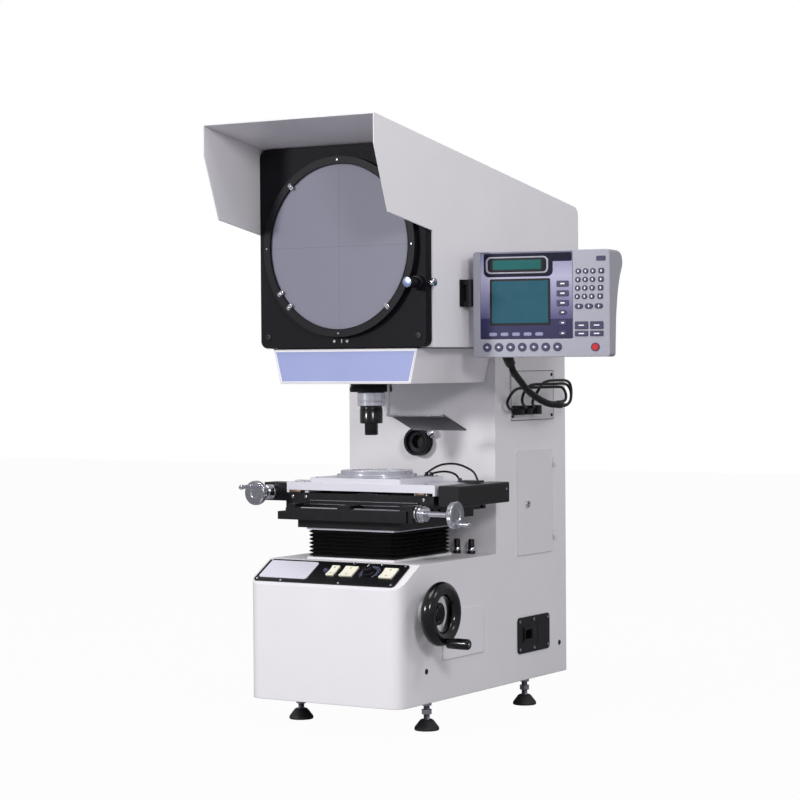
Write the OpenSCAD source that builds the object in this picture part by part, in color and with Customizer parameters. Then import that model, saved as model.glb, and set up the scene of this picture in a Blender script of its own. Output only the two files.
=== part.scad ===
// Optical comparator: base cabinet and column, lifting cross stage, projecting head with a rotating screen,
// swivelling readout console. Millimetres. X to the right, Y to the back, Z up, floor at Z = 0.
// Sizes are written from the cabinet's middle plane and front face, then moved to the frame's origin.

/* [Cabinet] */
// width of base and column
base_w = 333; // [325:1:341]
// depth of the base
base_l = 629; // [620:1:640]
// height of the cabinet's underside over the floor
cabinet_z = 55; // [50:1:60]
// height of the front wall
front_h = 213; // [205:1:218]
// height of the deck over the cabinet's underside
deck_h = 254; // [250:1:258]
// depth of the sloped front
slope_l = 72; // [68:1:76]
// column's front face
column_y = 348; // [344:1:352]
// sheet thickness
wall = 3; // [2:0.5:4]
// radius of the front upright corners
corner_r = 25; // [15:1:35]

/* [Feet] */
// half spacing of the feet across
foot_x = 140; // [130:1:144]
// front feet from the front face
foot_y0 = 134; // [125:1:140]
// rear feet from the cabinet's back
foot_back = 126; // [114:1:139]
// radius of a rubber pad
pad_r = 23; // [20:1:26]
// height of a rubber pad
pad_h = 20; // [16:1:22]
// radius of the stud
stud_r = 6; // [5:0.5:7]

/* [Control panel] */
// plate width
cp_w = 309; // [304:1:312]
// plate length along the slope
cp_l = 69; // [65:1:70]
// plate centre across
cp_x = -5; // [-8:1:-2]
// plate thickness
cp_t = 2.5; // [2:0.5:3]
// rocker length along the slope
rocker_l = 30; // [26:1:32]
// width of the narrow rocker
rocker_w0 = 16; // [14:1:18]
// width of a wide rocker
rocker_w1 = 28; // [24:1:30]
// rocker centres across
rocker_x0 = -2; // [-4:1:0]
// second rocker centre
rocker_x1 = 33; // [31:1:35]
// third rocker centre
rocker_x2 = 119; // [116:1:121]
// brightness knob centre across
knob_x = 77; // [75:1:79]
// brightness knob radius
knob_r = 12; // [10:1:14]

/* [Side fittings] */
// door's rear edge from the cabinet's back
door_back = 59; // [56:1:63]
// door width
door_w = 141; // [136:1:145]
// door bottom over the floor
door_z = 299; // [294:1:303]
// door height
door_h = 204; // [195:1:208]
// plate thickness of door and covers
plate_t = 2.5; // [2:0.5:3]
// radius of the hinge pins
hinge_pin_r = 2; // [1.5:0.1:2.5]
// lock from the door's free edge
lock_in = 38; // [31:1:46]
// lock height
lock_z = 398; // [380:1:420]
// radius of the lock barrel
lock_r = 7; // [6:0.5:8]
// connector plate from the column's front
conn_front = 57; // [54:1:62]
// connector plate from the cabinet's back
conn_back = 53; // [50:1:58]
// connector plate bottom
conn_z = 562; // [558:1:566]
// connector plate height
conn_h = 96; // [90:1:98]
// plug row height
plug_z = 582; // [580:1:586]
// plug radius
plug_r = 8; // [6:0.5:9]
// plug length out of the plate
plug_l = 18; // [14:1:22]
// inlet plate's rear edge from the cabinet's back
inlet_back = 74; // [70:1:78]
// inlet plate width
inlet_w = 127; // [120:1:130]
// inlet plate bottom
inlet_z = 108; // [104:1:112]
// inlet plate height
inlet_h = 70; // [66:1:74]
// access cover from the front face
access_y = 146; // [144:1:150]
// access cover width
access_w = 150; // [140:1:154]
// access cover bottom
access_z = 128; // [124:1:132]
// access cover height
access_h = 88; // [80:1:92]

/* [Lift] */
// handwheel axis from the front face
wheel_y = 80; // [77:1:83]
// handwheel axis height
wheel_z = 222; // [217:1:226]
// handwheel's middle plane out from the cabinet's side
wheel_out = 38.5; // [36.5:0.5:42]
// radius to the rim's centre line
wheel_r = 45; // [42:1:47]
// radius of the rim's section
rim_r = 13.5; // [12:0.5:14]
// radius of the handwheel's hub
hub_r = 20.5; // [19:0.5:22]
// width of a spoke
spoke_w = 16; // [12:1:20]
// radius of the handle's path
handle_path_r = 52; // [49:1:53]
// handle radius
handle_r = 10; // [9:0.5:10.5]
// handle length
handle_l = 45; // [42:1:50]
// handwheel shaft radius
shaft_r = 8; // [7:0.5:9]
// half spacing of the guide rods
guide_x = 66; // [62:1:68]
// guide rods from the front face
guide_y = 215; // [210:1:220]
// guide rod radius
guide_r = 9; // [7:0.5:10]
// lift screw from the front face
screw_y = 266; // [262:1:268]
// lift screw radius
screw_r = 8; // [6:0.5:8]

/* [Bellows] */
// bellows width
bellows_w = 192; // [188:1:196]
// bellows front
bellows_y = 96; // [92:1:100]
// bellows depth
bellows_l = 201; // [196:1:206]
// bellows height at rest
bellows_h = 51; // [46:1:54]
// fold depth
fold_d = 6; // [4:0.5:7]
// flange thickness
flange_t = 4; // [3:0.5:5]
// flange overhang round the bellows
flange_o = 1; // [0.5:0.5:3]

/* [Stage] */
// stage base width
sbase_w = 284; // [280:1:290]
// stage base front
sbase_y = 64; // [60:1:66]
// stage base back
sbase_y1 = 305; // [302:1:310]
// stage base block height
sblock_h = 16; // [14:1:18]
// stage base plate thickness
sbase_t = 15; // [14:1:17]
// light opening's radius
light_r = 36; // [30:1:38]
// optical axis from the front face
axis_y = 170; // [168:1:172]
// rotary centre from the front face
rotary_y = 189; // [187:1:191]
// X rail height
rail_h = 8; // [6:0.5:9]
// rail width
rail_w = 10; // [8:0.5:12]
// saddle left end
saddle_x0 = -156; // [-158:1:-155]
// saddle right end
saddle_x1 = 172; // [168:1:173]
// saddle front
saddle_y = 112; // [111:1:114]
// saddle back
saddle_y1 = 300; // [296:1:304]
// saddle thickness
saddle_t = 32; // [30:1:34]
// table left end
table_x0 = -152; // [-153:1:-150]
// table right end
table_x1 = 176; // [175:1:178]
// table front
table_y = 109; // [107:1:110]
// table depth
table_l = 162; // [158:1:166]
// table plate thickness
table_t = 15; // [13:1:17]
// rotary base plate width
rplate_w = 201; // [196:1:206]
// rotary base plate depth
rplate_l = 156; // [152:1:160]
// rotary base plate thickness
rplate_t = 9; // [8:0.5:10]
// rotary ring radius
rring_r = 75.5; // [72:0.5:77]
// rotary ring height
rring_h = 12; // [10:0.5:13]
// spigot radius of the rotary ring
spigot_r = 58; // [55:0.5:60]
// stage glass radius
sglass_r = 52; // [48:0.5:53]
// stage glass thickness
sglass_t = 4; // [3:0.5:5]
// scale cover right side
cover_x1 = 225; // [222:1:228]
// scale cover width
cover_w = 43; // [40:1:44]
// scale cover depth
cover_l = 185; // [178:1:190]
// scale cover height
cover_h = 38; // [34:1:40]

/* [Cranks] */
// X screw from the front face
xs_y = 84; // [83:1:85]
// X screw height over the stage base's top
xs_h = 2; // [1:0.5:3]
// X screw radius
xs_r = 6; // [5:0.5:6.5]
// X screw's bearing block out from the stage base's end
bear_out = 12; // [8:1:14]
// X crank disc radius
xdisc_r = 25; // [22:0.5:26]
// Y screw across
ys_x = -186; // [-188:1:-184]
// Y screw height over the saddle's top
ys_h = 1; // [0:0.5:2]
// Y screw radius
ys_r = 5; // [4:0.5:6]
// Y crank disc radius
ydisc_r = 23; // [20:0.5:24]
// Y bracket left end
ybr_x0 = -206; // [-208:1:-204]
// Y bracket depth
ybr_l = 39; // [34:1:40]

/* [Head] */
// head width
head_w = 370; // [367:1:373]
// sheet thickness of the head
hood_wall = 2; // [1.5:0.5:2.5]
// underside of the upper housing
head_z = 703; // [700:1:706]
// upper housing's back behind the cabinet's back
head_back = 26; // [19:1:33]
// front edge of the hood
hood_y = -101; // [-105:1:-96]
// hood's front edge over the screen ring's top
hood_over = 54.5; // [52:0.5:57]
// fall of the roof from front to back
roof_drop = 128; // [122:1:134]
// lower head width at the top
low_w0 = 318; // [312:1:324]
// lower head width at the bottom
low_w1 = 288; // [282:1:294]
// lower head front
low_y = 80; // [78:1:84]
// lower head height
low_h = 66; // [62:1:68]

/* [Screen] */
// frame thickness
panel_t = 20; // [18:1:22]
// frame front
panel_y = 72; // [70:1:74]
// ring's foot over the frame's bottom
ring_foot = 19.5; // [18:0.5:21]
// ring in from the head's side
ring_in = 18.5; // [18:0.5:20]
// ring's visible width
ring_w = 14.5; // [13.5:0.5:16]
// ring thickness in front of the frame
ring_t = 12; // [10:0.5:13]
// glass thickness
glass_t = 5; // [4:0.5:6]
// ring knob in from the head's side
rknob_in = 19; // [18:0.5:20]
// ring knob below the screen's centre
rknob_dz = 70; // [68:1:72]
// ring knob radius
rknob_r = 10; // [8:0.5:11]
// ring knob length
rknob_l = 28; // [24:1:30]

/* [Objective and lamp] */
// lens mount radius
mount_r = 40; // [36:1:42]
// lens mount height
mount_h = 16; // [14:1:18]
// spigot radius of the objective
obj_spigot_r = 22; // [20:0.5:23]
// objective collar radius
obj_r0 = 26; // [25:0.5:28]
// objective collar height
obj_h0 = 26; // [24:1:28]
// objective barrel radius
obj_r1 = 21.5; // [20:0.5:23]
// objective barrel height
obj_h1 = 33; // [30:1:35]
// objective nose radius
obj_r2 = 12.5; // [11:0.5:14]
// objective nose height
obj_h2 = 22; // [18:1:24]
// reflector rod across
refl_x = 64; // [62:1:66]
// reflector rod from the front face
refl_y = 130; // [127:1:133]
// reflector rod radius
refl_r = 2.5; // [2:0.5:3]
// reflector below the head's underside
refl_dz = 57; // [52:1:60]
// reflector width
refl_w = 119; // [110:1:121]
// reflector depth
refl_l = 86; // [80:1:90]
// surface lamp height
lamp_z = 522; // [518:1:526]
// surface lamp radius
lamp_r = 27; // [24:1:28]
// surface lamp length in front of the column
lamp_l = 22; // [18:1:24]

/* [Console] */
// left front corner out from the head's side
con_out = 22; // [21:1:24]
// left front corner from the front face
con_y = 199; // [196:1:202]
// underside of the console
con_z = 684; // [680:1:688]
// console width
con_w = 262; // [257:1:266]
// console height
con_h = 194; // [190:1:198]
// console depth at the top
con_d = 79; // [74:1:82]
// corner radius of the console's face
con_r = 6; // [4:1:9]
// turn of the console from the front
con_yaw = 10; // [8:1:12]
// pivot from the front face
pivot_y = 201; // [199:1:203]
// pivot pin radius
pivot_r = 4; // [3:0.5:4.5]
// radius of the pivot's lugs
lug_r = 8; // [7:0.5:8]

/* [Fits] */
// gap of moving faces
gap = 0.4; // [0.3:0.05:0.5]
// radial gap of shafts in their bores
fit = 0.06; // [0.03:0.01:0.09]

/* [Hidden] */
$fn = 72;
// frame origin: middle of the whole outline, on the floor
con_x = head_w / 2 + con_out;
head_y1 = base_l + head_back;
frame_x = (con_x + con_w * cos(con_yaw) + ys_x - ydisc_r) / 2;
frame_y = (hood_y + head_y1) / 2;
pivot_x = head_w / 2 + 12;
// cabinet levels
deck_z = cabinet_z + deck_h;
front_z = cabinet_z + front_h;
slope_a = atan2(deck_h - front_h, slope_l);
slope_s = sqrt(slope_l * slope_l + (deck_h - front_h) * (deck_h - front_h));
side_x = base_w / 2;
foot_y1 = base_l - foot_back;
door_y = base_l - door_back - door_w;
lock_y = door_y + lock_in;
conn_y = column_y + conn_front;
conn_w = base_l - conn_back - conn_y;
plug_y = [for (k = [0.07, 0.26, 0.48]) conn_y + k * conn_w];
plug_x = side_x + plate_t + plug_l / 2;
deck_plug_x = [88, 120];
deck_plug_y = column_y - 14;
inlet_y = base_l - inlet_back - inlet_w;
wheel_x = side_x + wheel_out;
hinge_x = side_x + hinge_pin_r + 2.5;
switch_s = slope_s * 0.58;
rocker_gap = 1;
pivot_n = 1;
rocker_pin_r = 0.8;
rocker_pin_l = 1.5;
// stage levels
bel_z = deck_z + flange_t;
bel_z1 = bel_z + bellows_h;
flange_z1 = bel_z1 + flange_t;
splate_z = flange_z1 + sblock_h;
sbase_z1 = splate_z + sbase_t;
xs_z = sbase_z1 + xs_h;
saddle_z = sbase_z1 + gap;
saddle_z1 = saddle_z + saddle_t;
ys_z = saddle_z1 + ys_h;
way_h = 5;
table_z = saddle_z1 + way_h + gap;
table_z1 = table_z + table_t;
rplate_z1 = table_z1 + rplate_t;
rring_z = rplate_z1 + gap;
rring_z1 = rring_z + rring_h;
bel_y1 = bellows_y + bellows_l;
reader_y = table_y + 118;
open_w = bellows_w - 2 * fold_d - 8;
bear_x = sbase_w / 2 + bear_out;
rail_y0 = saddle_y + 18;
rail_y1 = saddle_y1 - 15;
yrail_x0 = saddle_x0 + 36;
yrail_x1 = saddle_x1 - 30;
// screen and head
ring_r = head_w / 2 - ring_in;
view_r = ring_r - ring_w;
screen_z = head_z + 1 + ring_foot + ring_r;
rknob_x = head_w / 2 - rknob_in;
hood_z = screen_z + ring_r + hood_over;
roof_a = atan2(roof_drop, head_y1 - hood_y);
panel_gap = 0.6;
panel_w = head_w - 2 * (hood_wall + panel_gap);
panel_y1 = panel_y + panel_t;
panel_z1 = hood_z - (panel_y1 - hood_y) * tan(roof_a) - hood_wall / cos(roof_a) - panel_gap;
panel_h = panel_z1 - head_z - 1;
ring_y = panel_y - ring_t;
neck_r = view_r + 6;
tyre_r = sqrt(rknob_x * rknob_x + rknob_dz * rknob_dz) - ring_r - gap;
rknob_z = screen_z - rknob_dz;
low_z = head_z - low_h;
obj_z = low_z - mount_h;
obj_z1 = obj_z - obj_h0;
obj_z2 = obj_z1 - obj_h1;
obj_z3 = obj_z2 - obj_h2;
// fold mirror geometry
m1_z = head_z + 50;
m2_y = head_y1 - 60;
m2_z = screen_z - 14;
m1_a = atan2(m2_z - m1_z, m2_y - axis_y);
// console face layout, drawn for a width of 243 inside a left and a right margin
con_m0 = 5;
con_m1 = 4;
con_k = (con_w - con_m0 - con_m1) / 243;
power_x = con_u(220.2);
gland_x = 58;
gland_y = 24;
gland_a = 40;
// cable routes, chosen by hand
conduit_d = 13;
gland_l = 18;
gland_gap = 0.5;
conduit_pts = concat([gland_at(gland_l + gland_gap), gland_at(gland_l + 12), gland_at(gland_l + 24)],
  [[248, 300, 640], [242, 343, 620], [234, 406, 602], [226, 462, 593], [220, 513, 592]]);
lead_d = 5.5;
lead_z = plug_z + 2;
lead_a = [[220, 508, 596], [219, 520, 598], [217, 534, 599], [215, 543, 604], [213, 546, 612], [211, 543, 620],
  [210, 534, 625], [209, 518, 626], [208, 500, 626], [206, 450, 626], [204, 400, 626], [202, 366, 623],
  [198, 349, 610], [190, 353, 597], [181, 376, 587], [plug_x, plug_y[0] - 25, lead_z],
  [plug_x, plug_y[0] - 13, lead_z]];
lead_b = [[223, 508, 590], [221, 538, 592], [217, 558, 600], [215, 564, 613], [214, 558, 625], [213, 540, 632],
  [213, 500, 632], [213, 465, 632], [213, 420, 632], [212, 397, 628], [209, 383, 615], [204, 386, 601],
  [198, 404, 592], [192, 424, 588], [185, 432, 586], [plug_x, plug_y[1] - 12, lead_z]];
lead_c = [[216, 508, 590], [215, 540, 589], [212, 566, 597], [211, 573, 614], [212, 566, 631], [214, 545, 638],
  [217, 515, 639], [219, 485, 639], [220, 460, 638], [220, 438, 633], [217, 426, 620], [209, 424, 606],
  [199, 436, 596], [191, 456, 590], [184, 466, 586], [plug_x, plug_y[2] - 12, lead_z]];
stage_d = 4;
lead_top = rplate_z1;
stage_a = [[66, 260, lead_top - 1], [72, 258, lead_top + 8], [108, 246, lead_top + 22],
  [150, 234, lead_top + 24], [186, 228, lead_top + 12], [198, reader_y, table_z1 + 3]];
stage_b = [[76, 260, lead_top - 1], [82, 259, lead_top + 5], [112, 252, lead_top + 9],
  [140, 244, lead_top + 4], [152, 240, table_z1 - 1]];

function con_pt(p) = [con_x + p[0] * cos(con_yaw) - p[1] * sin(con_yaw),
  con_y + p[0] * sin(con_yaw) + p[1] * cos(con_yaw), con_z + p[2]];
function gland_at(l) = con_pt([gland_x, gland_y + l * cos(gland_a), -l * sin(gland_a)]);
function con_u(x) = con_m0 + x * con_k;
function unit(v) = v / norm(v);
function cr(a, b, c, d, t) =
  0.5 * (2 * b + (c - a) * t + (2 * a - 5 * b + 4 * c - d) * t * t + (3 * b - a - 3 * c + d) * t * t * t);
function route(p, n) = concat([for (i = [0 : len(p) - 2]) for (k = [0 : n - 1])
  cr(p[max(i - 1, 0)], p[i], p[i + 1], p[min(i + 2, len(p) - 1)], k / n)], [p[len(p) - 1]]);
function tangents(q) = [for (i = [0 : len(q) - 1]) unit(q[min(i + 1, len(q) - 1)] - q[max(i - 1, 0)])];
function carried(t, i, u) =
  i >= len(t) ? [] : let (w = unit(u - (u * t[i]) * t[i])) concat([w], carried(t, i + 1, w));

module tube(p, d, n, sides) {
  q = route(p, n);
  t = tangents(q);
  u = carried(t, 0, unit(cross(t[0], [0.3, 0.9, 0.2])));
  pts = [for (i = [0 : len(q) - 1]) for (k = [0 : sides - 1])
    q[i] + d / 2 * (cos(360 * k / sides) * u[i] + sin(360 * k / sides) * cross(t[i], u[i]))];
  last = (len(q) - 1) * sides;
  quads = [for (i = [0 : len(q) - 2]) for (k = [0 : sides - 1])
    let (a = i * sides + k, b = i * sides + (k + 1) % sides)
      each [[a, a + sides, b], [b, a + sides, b + sides]]];
  polyhedron(pts, concat([[for (k = [0 : sides - 1]) k]], quads, [[for (k = [sides - 1 : -1 : 0]) last + k]]));
}

module place() {
  translate([-frame_x, -frame_y, 0]) children();
}
module box(x0, x1, y0, y1, z0, z1) {
  translate([x0, y0, z0]) cube([x1 - x0, y1 - y0, z1 - z0]);
}
module xcyl(x0, x1, y, z, r) {
  translate([x0, y, z]) rotate([0, 90, 0]) cylinder(h = x1 - x0, r = r);
}
module ycyl(y0, y1, x, z, r) {
  translate([x, y0, z]) rotate([-90, 0, 0]) cylinder(h = y1 - y0, r = r);
}
module zcyl(z0, z1, x, y, r) {
  translate([x, y, z0]) cylinder(h = z1 - z0, r = r);
}
module along_x(x0, x1) {
  translate([x0, 0, 0]) rotate([90, 0, 90]) linear_extrude(x1 - x0) children();
}
module along_y(y0, y1) {
  translate([0, y1, 0]) rotate([90, 0, 0]) linear_extrude(y1 - y0) children();
}
module round_rect(w, h, r) {
  translate([-w / 2 + r, -h / 2]) square([w - 2 * r, h]);
  translate([-w / 2, -h / 2 + r]) square([w, h - 2 * r]);
  for (sx = [-1, 1]) for (sy = [-1, 1]) translate([sx * (w / 2 - r), sy * (h / 2 - r)]) circle(r);
}
module on_slope() {
  translate([0, 0, front_z]) rotate([slope_a, 0, 0]) children();
}
module console_frame() {
  translate([con_x, con_y, con_z]) rotate([0, 0, con_yaw]) children();
}

module cabinet_profile(t) {
  polygon([[t, cabinet_z + t], [base_l - t, cabinet_z + t], [base_l - t, head_z - t],
    [column_y + t, head_z - t], [column_y + t, deck_z - t], [slope_l + t * tan(slope_a / 2), deck_z - t],
    [t, front_z - t * (1 - sin(slope_a)) / cos(slope_a)]]);
}
module cabinet_plan(t) {
  r = corner_r - t;
  translate([-side_x + t, corner_r]) square([base_w - 2 * t, base_l - corner_r - t]);
  translate([-side_x + corner_r, t]) square([base_w - 2 * corner_r, corner_r]);
  for (s = [-1, 1]) translate([s * (side_x - corner_r), corner_r]) circle(r);
}
module cabinet_block(t) {
  intersection() {
    along_x(-side_x, side_x) cabinet_profile(t);
    linear_extrude(head_z + 10) cabinet_plan(t);
  }
}
module flange_box(z0, z1) {
  x = bellows_w / 2 + flange_o;
  box(-x, x, bellows_y - flange_o, bel_y1 + flange_o, z0, z1);
}
module hinge_at(z) {
  y = door_y + door_w + 4;
  box(side_x - 1, hinge_x + hinge_pin_r + 1.3, y - hinge_pin_r, y + 4, z - 5, z);
  zcyl(z - 1, z + 12, hinge_x, y, hinge_pin_r);
}
module base_cabinet() {
  color("#E4E1E8") place() difference() {
    union() {
      difference() {
        cabinet_block(0);
        cabinet_block(wall);
      }
      flange_box(deck_z - 1, bel_z);
      xcyl(side_x - wall, side_x + 8, wheel_y, wheel_z, shaft_r + 12);
      hinge_at(door_z + 30);
      hinge_at(door_z + door_h - 30);
    }
    box(-open_w / 2, open_w / 2, bellows_y + fold_d + 4, bel_y1 - fold_d - 4, deck_z - wall - 1, bel_z + 1);
    on_slope() translate([rocker_x0 - 14, switch_s - 22, -wall - 20])
      cube([rocker_x2 - rocker_x0 + 34, 44, wall + 21]);
    xcyl(side_x - wall - 20, side_x + 9, wheel_y, wheel_z, shaft_r + fit);
    box(side_x - wall - 1, side_x + 1, door_y + 8, door_y + door_w - 8, door_z + 8, door_z + door_h - 8);
    box(side_x - wall - 1, side_x + 1, conn_y + 14, conn_y + conn_w - 14, conn_z + 10, conn_z + conn_h - 10);
    box(side_x - wall - 1, side_x + 1, inlet_y + 12, inlet_y + 80, inlet_z + 12, inlet_z + inlet_h - 12);
    box(side_x - wall - 1, side_x + 1, access_y + 10, access_y + access_w - 10, access_z + 10,
      access_z + access_h - 10);
    ycyl(column_y - 1, column_y + wall + 1, 0, lamp_z, lamp_r - 7);
    for (sx = [-1, 1]) for (y = [foot_y0, foot_y1])
      zcyl(cabinet_z - 1, cabinet_z + wall + 1, sx * foot_x, y, stud_r + fit);
  }
}

module rocker_hole(x, w) {
  translate([x - w / 2 - rocker_gap / 2, switch_s - rocker_l / 2 - rocker_gap])
    square([w + rocker_gap, rocker_l + 2 * rocker_gap]);
}
module rocker_pivot(x, w, more, r) {
  e = w / 2 + rocker_gap / 2 + rocker_pin_l + more;
  xcyl(x - e, x + e, switch_s, pivot_n, r);
}
module control_panel() {
  color("#26252C") place() on_slope() difference() {
    linear_extrude(cp_t) difference() {
      translate([cp_x, slope_s / 2 + 2]) round_rect(cp_w, cp_l, 7);
      rocker_hole(rocker_x0, rocker_w0);
      rocker_hole(rocker_x1, rocker_w1);
      rocker_hole(rocker_x2, rocker_w1);
      translate([knob_x, switch_s]) circle(3 + fit);
    }
    rocker_pivot(rocker_x0, rocker_w0, gap, rocker_pin_r + fit);
    rocker_pivot(rocker_x1, rocker_w1, gap, rocker_pin_r + fit);
    rocker_pivot(rocker_x2, rocker_w1, gap, rocker_pin_r + fit);
  }
}
module rocker(x, w) {
  l = rocker_l / 2;
  place() on_slope() {
    translate([x - w / 2, switch_s, pivot_n]) rotate([90, 0, 90]) linear_extrude(w)
      polygon([[-l, 4.5], [0, 3], [l, 4.5], [l - 1, -3], [-l + 1, -3]]);
    rocker_pivot(x, w, 0, rocker_pin_r);
  }
}
module rocker_narrow() {
  color("#EDE8D6") rocker(rocker_x0, rocker_w0);
}
module rocker_mid() {
  color("#EDE8D6") rocker(rocker_x1, rocker_w1);
}
module rocker_right() {
  color("#EDE8D6") rocker(rocker_x2, rocker_w1);
}
module brightness_knob() {
  color("#1B1A20") place() on_slope() translate([knob_x, switch_s, 0]) {
    translate([0, 0, cp_t + gap]) cylinder(h = 4, r = knob_r);
    translate([0, 0, cp_t + gap]) cylinder(h = 13, r = knob_r - 2.5);
    translate([0, 0, -10]) cylinder(h = 10 + cp_t + gap + 1, r = 3);
  }
}

module side_plate(y, w, z, h, r) {
  along_x(side_x, side_x + plate_t) translate([y + w / 2, z + h / 2]) round_rect(w, h, r);
}
module column_door() {
  color("#D9D6DE") place() {
    difference() {
      side_plate(door_y, door_w, door_z, door_h, 3);
      xcyl(side_x - 1, side_x + plate_t + 1, lock_y, lock_z, lock_r - 1 + fit);
    }
    for (z = [door_z + 30, door_z + door_h - 30]) difference() {
      union() {
        zcyl(z + gap, z + 12, hinge_x, door_y + door_w + 4, hinge_pin_r + 1.8);
        box(side_x + gap, side_x + plate_t, door_y + door_w - 2, door_y + door_w + 3, z + gap, z + 12);
      }
      zcyl(z - 1, z + 13, hinge_x, door_y + door_w + 4, hinge_pin_r + fit);
    }
  }
}
module door_lock() {
  color("#C9C9CE") place() {
    difference() {
      xcyl(side_x + plate_t + 0.3, side_x + plate_t + 4, lock_y, lock_z, lock_r);
      box(side_x + plate_t + 2.5, side_x + plate_t + 5, lock_y - 0.6, lock_y + 0.6, lock_z - 4, lock_z + 4);
    }
    xcyl(side_x - 14, side_x + plate_t + 1, lock_y, lock_z, lock_r - 1);
  }
}
module connector_plate() {
  color("#C7C4CB") place() difference() {
    side_plate(conn_y, conn_w, conn_z, conn_h, 2);
    for (y = plug_y) xcyl(side_x - 1, side_x + plate_t + 1, y, plug_z, plug_r - 2 + fit);
  }
}
module plugs() {
  f = side_x + plate_t;
  color("#17171B") place() {
    for (y = plug_y) {
      xcyl(side_x + gap, f + 1, y, plug_z, plug_r - 2);
      box(f, f + plug_l, y - plug_r - 2, y + plug_r + 2, plug_z - plug_r - 1, plug_z + plug_r + 1);
      ycyl(y - plug_r - 8, y - plug_r - 1, plug_x, lead_z, plug_r - 3.5);
    }
    for (x = deck_plug_x) {
      zcyl(deck_z, deck_z + 6, x, deck_plug_y, 7.5);
      zcyl(deck_z + 5, deck_z + 28, x, deck_plug_y, 6);
    }
  }
}
module access_cover() {
  color("#D2CFD6") place() side_plate(access_y, access_w, access_z, access_h, 2);
}
module inlet_plate() {
  color("#1B1B20") place() {
    difference() {
      side_plate(inlet_y, inlet_w, inlet_z, inlet_h, 8);
      box(side_x - 1, side_x + 5, inlet_y + 20, inlet_y + 68, inlet_z + 20, inlet_z + 52);
    }
    difference() {
      box(side_x - 26, side_x + 4, inlet_y + 20, inlet_y + 68, inlet_z + 20, inlet_z + 52);
      box(side_x - 14, side_x + 5, inlet_y + 24, inlet_y + 50, inlet_z + 27, inlet_z + 45);
      box(side_x - 6, side_x + 5, inlet_y + 54, inlet_y + 64, inlet_z + 27, inlet_z + 45);
    }
  }
}

module foot(x, y) {
  place() translate([x, y, 0]) {
    rotate_extrude() polygon([[0, 0], [pad_r, 0], [pad_r, 5], [pad_r - 3, 10], [pad_r - 9, pad_h - 3],
      [10, pad_h], [0, pad_h]]);
    translate([0, 0, pad_h - 6]) cylinder(h = cabinet_z + 20 - pad_h, r = stud_r);
    translate([0, 0, pad_h + 10]) cylinder(h = 8, r = 10.5, $fn = 6);
    translate([0, 0, cabinet_z - 9]) cylinder(h = 8.5, r = 10.5, $fn = 6);
  }
}
module foot_fl() {
  color("#222226") foot(-foot_x, foot_y0);
}
module foot_fr() {
  color("#222226") foot(foot_x, foot_y0);
}
module foot_rl() {
  color("#222226") foot(-foot_x, foot_y1);
}
module foot_rr() {
  color("#222226") foot(foot_x, foot_y1);
}

module housing_profile() {
  r = 16;
  b = hood_z - roof_drop;
  polygon(concat([[panel_y1, head_z], [head_y1, head_z], [head_y1, b - r]],
    [for (k = [1 : 4]) [head_y1 - r + r * cos(k * 18), b - r + r * sin(k * 18) + k * 0.6]],
    [[head_y1 - r - 4, b + (r + 4) * tan(roof_a)], [hood_y, hood_z], [hood_y, hood_z - 54],
    [hood_y + 44, hood_z - 171], [panel_y1, hood_z - 197]]));
}
module housing_inside() {
  k = hood_wall / cos(roof_a);
  y1 = head_y1 - hood_wall;
  top = hood_z - roof_drop - k;
  polygon([[panel_y1 - 1, head_z + hood_wall], [y1, head_z + hood_wall], [y1, top - 18], [y1 - 18, top + 3],
    [hood_y - 1, hood_z - k + tan(roof_a)], [hood_y - 1, hood_z - 300], [panel_y1 - 1, hood_z - 300]]);
}
module upper_housing() {
  color("#E2DFE6") place() difference() {
    union() {
      difference() {
        along_x(-head_w / 2, head_w / 2) housing_profile();
        along_x(-head_w / 2 + hood_wall, head_w / 2 - hood_wall) housing_inside();
      }
      box(-head_w / 2 + 1, head_w / 2 - 1, panel_y1, panel_y1 + hood_wall, head_z + 1, panel_z1 - 8);
    }
    ycyl(panel_y1 - 1, panel_y1 + hood_wall + 1, 0, screen_z, neck_r + 6);
    zcyl(head_z - 1, head_z + hood_wall + 1, 0, axis_y, mount_r + 8);
  }
}
module low_shape(t) {
  polygon([[-low_w0 / 2 + t, head_z - t], [low_w0 / 2 - t, head_z - t], [low_w1 / 2 - t, low_z + t],
    [-low_w1 / 2 + t, low_z + t]]);
}
module lower_head() {
  color("#DEDBE3") place() difference() {
    along_y(low_y, column_y) low_shape(0);
    along_y(low_y + wall, column_y - wall) low_shape(wall);
    zcyl(low_z - 1, low_z + wall + 1, 0, axis_y, obj_spigot_r + 4);
    zcyl(head_z - wall - 1, head_z + 1, 0, axis_y, mount_r + 8);
    zcyl(low_z - 1, low_z + wall + 1, refl_x, refl_y, refl_r + fit);
  }
}
module screen_panel() {
  color("#2A2832") place() difference() {
    along_y(panel_y, panel_y1) translate([0, head_z + 1 + panel_h / 2]) round_rect(panel_w, panel_h, 14);
    ycyl(panel_y - 1, panel_y1 + 1, 0, screen_z, neck_r + gap);
    ycyl(panel_y - 1, panel_y1 + 1, rknob_x, rknob_z, 4 + fit);
    xcyl(rknob_x, panel_w / 2 + 1, panel_y + panel_t / 2, rknob_z, 3 + fit);
  }
}
module screen_ring() {
  color("#201F26") place() translate([0, ring_y, screen_z]) rotate([-90, 0, 0]) difference() {
    union() {
      cylinder(h = ring_t - gap, r = ring_r, $fn = 144);
      cylinder(h = ring_t + panel_t - 2, r = neck_r, $fn = 144);
    }
    translate([0, 0, -1]) cylinder(h = ring_t + panel_t, r = view_r, $fn = 144);
    translate([0, 0, 5]) cylinder(h = ring_t + panel_t, r = view_r + 3, $fn = 144);
  }
}
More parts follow.
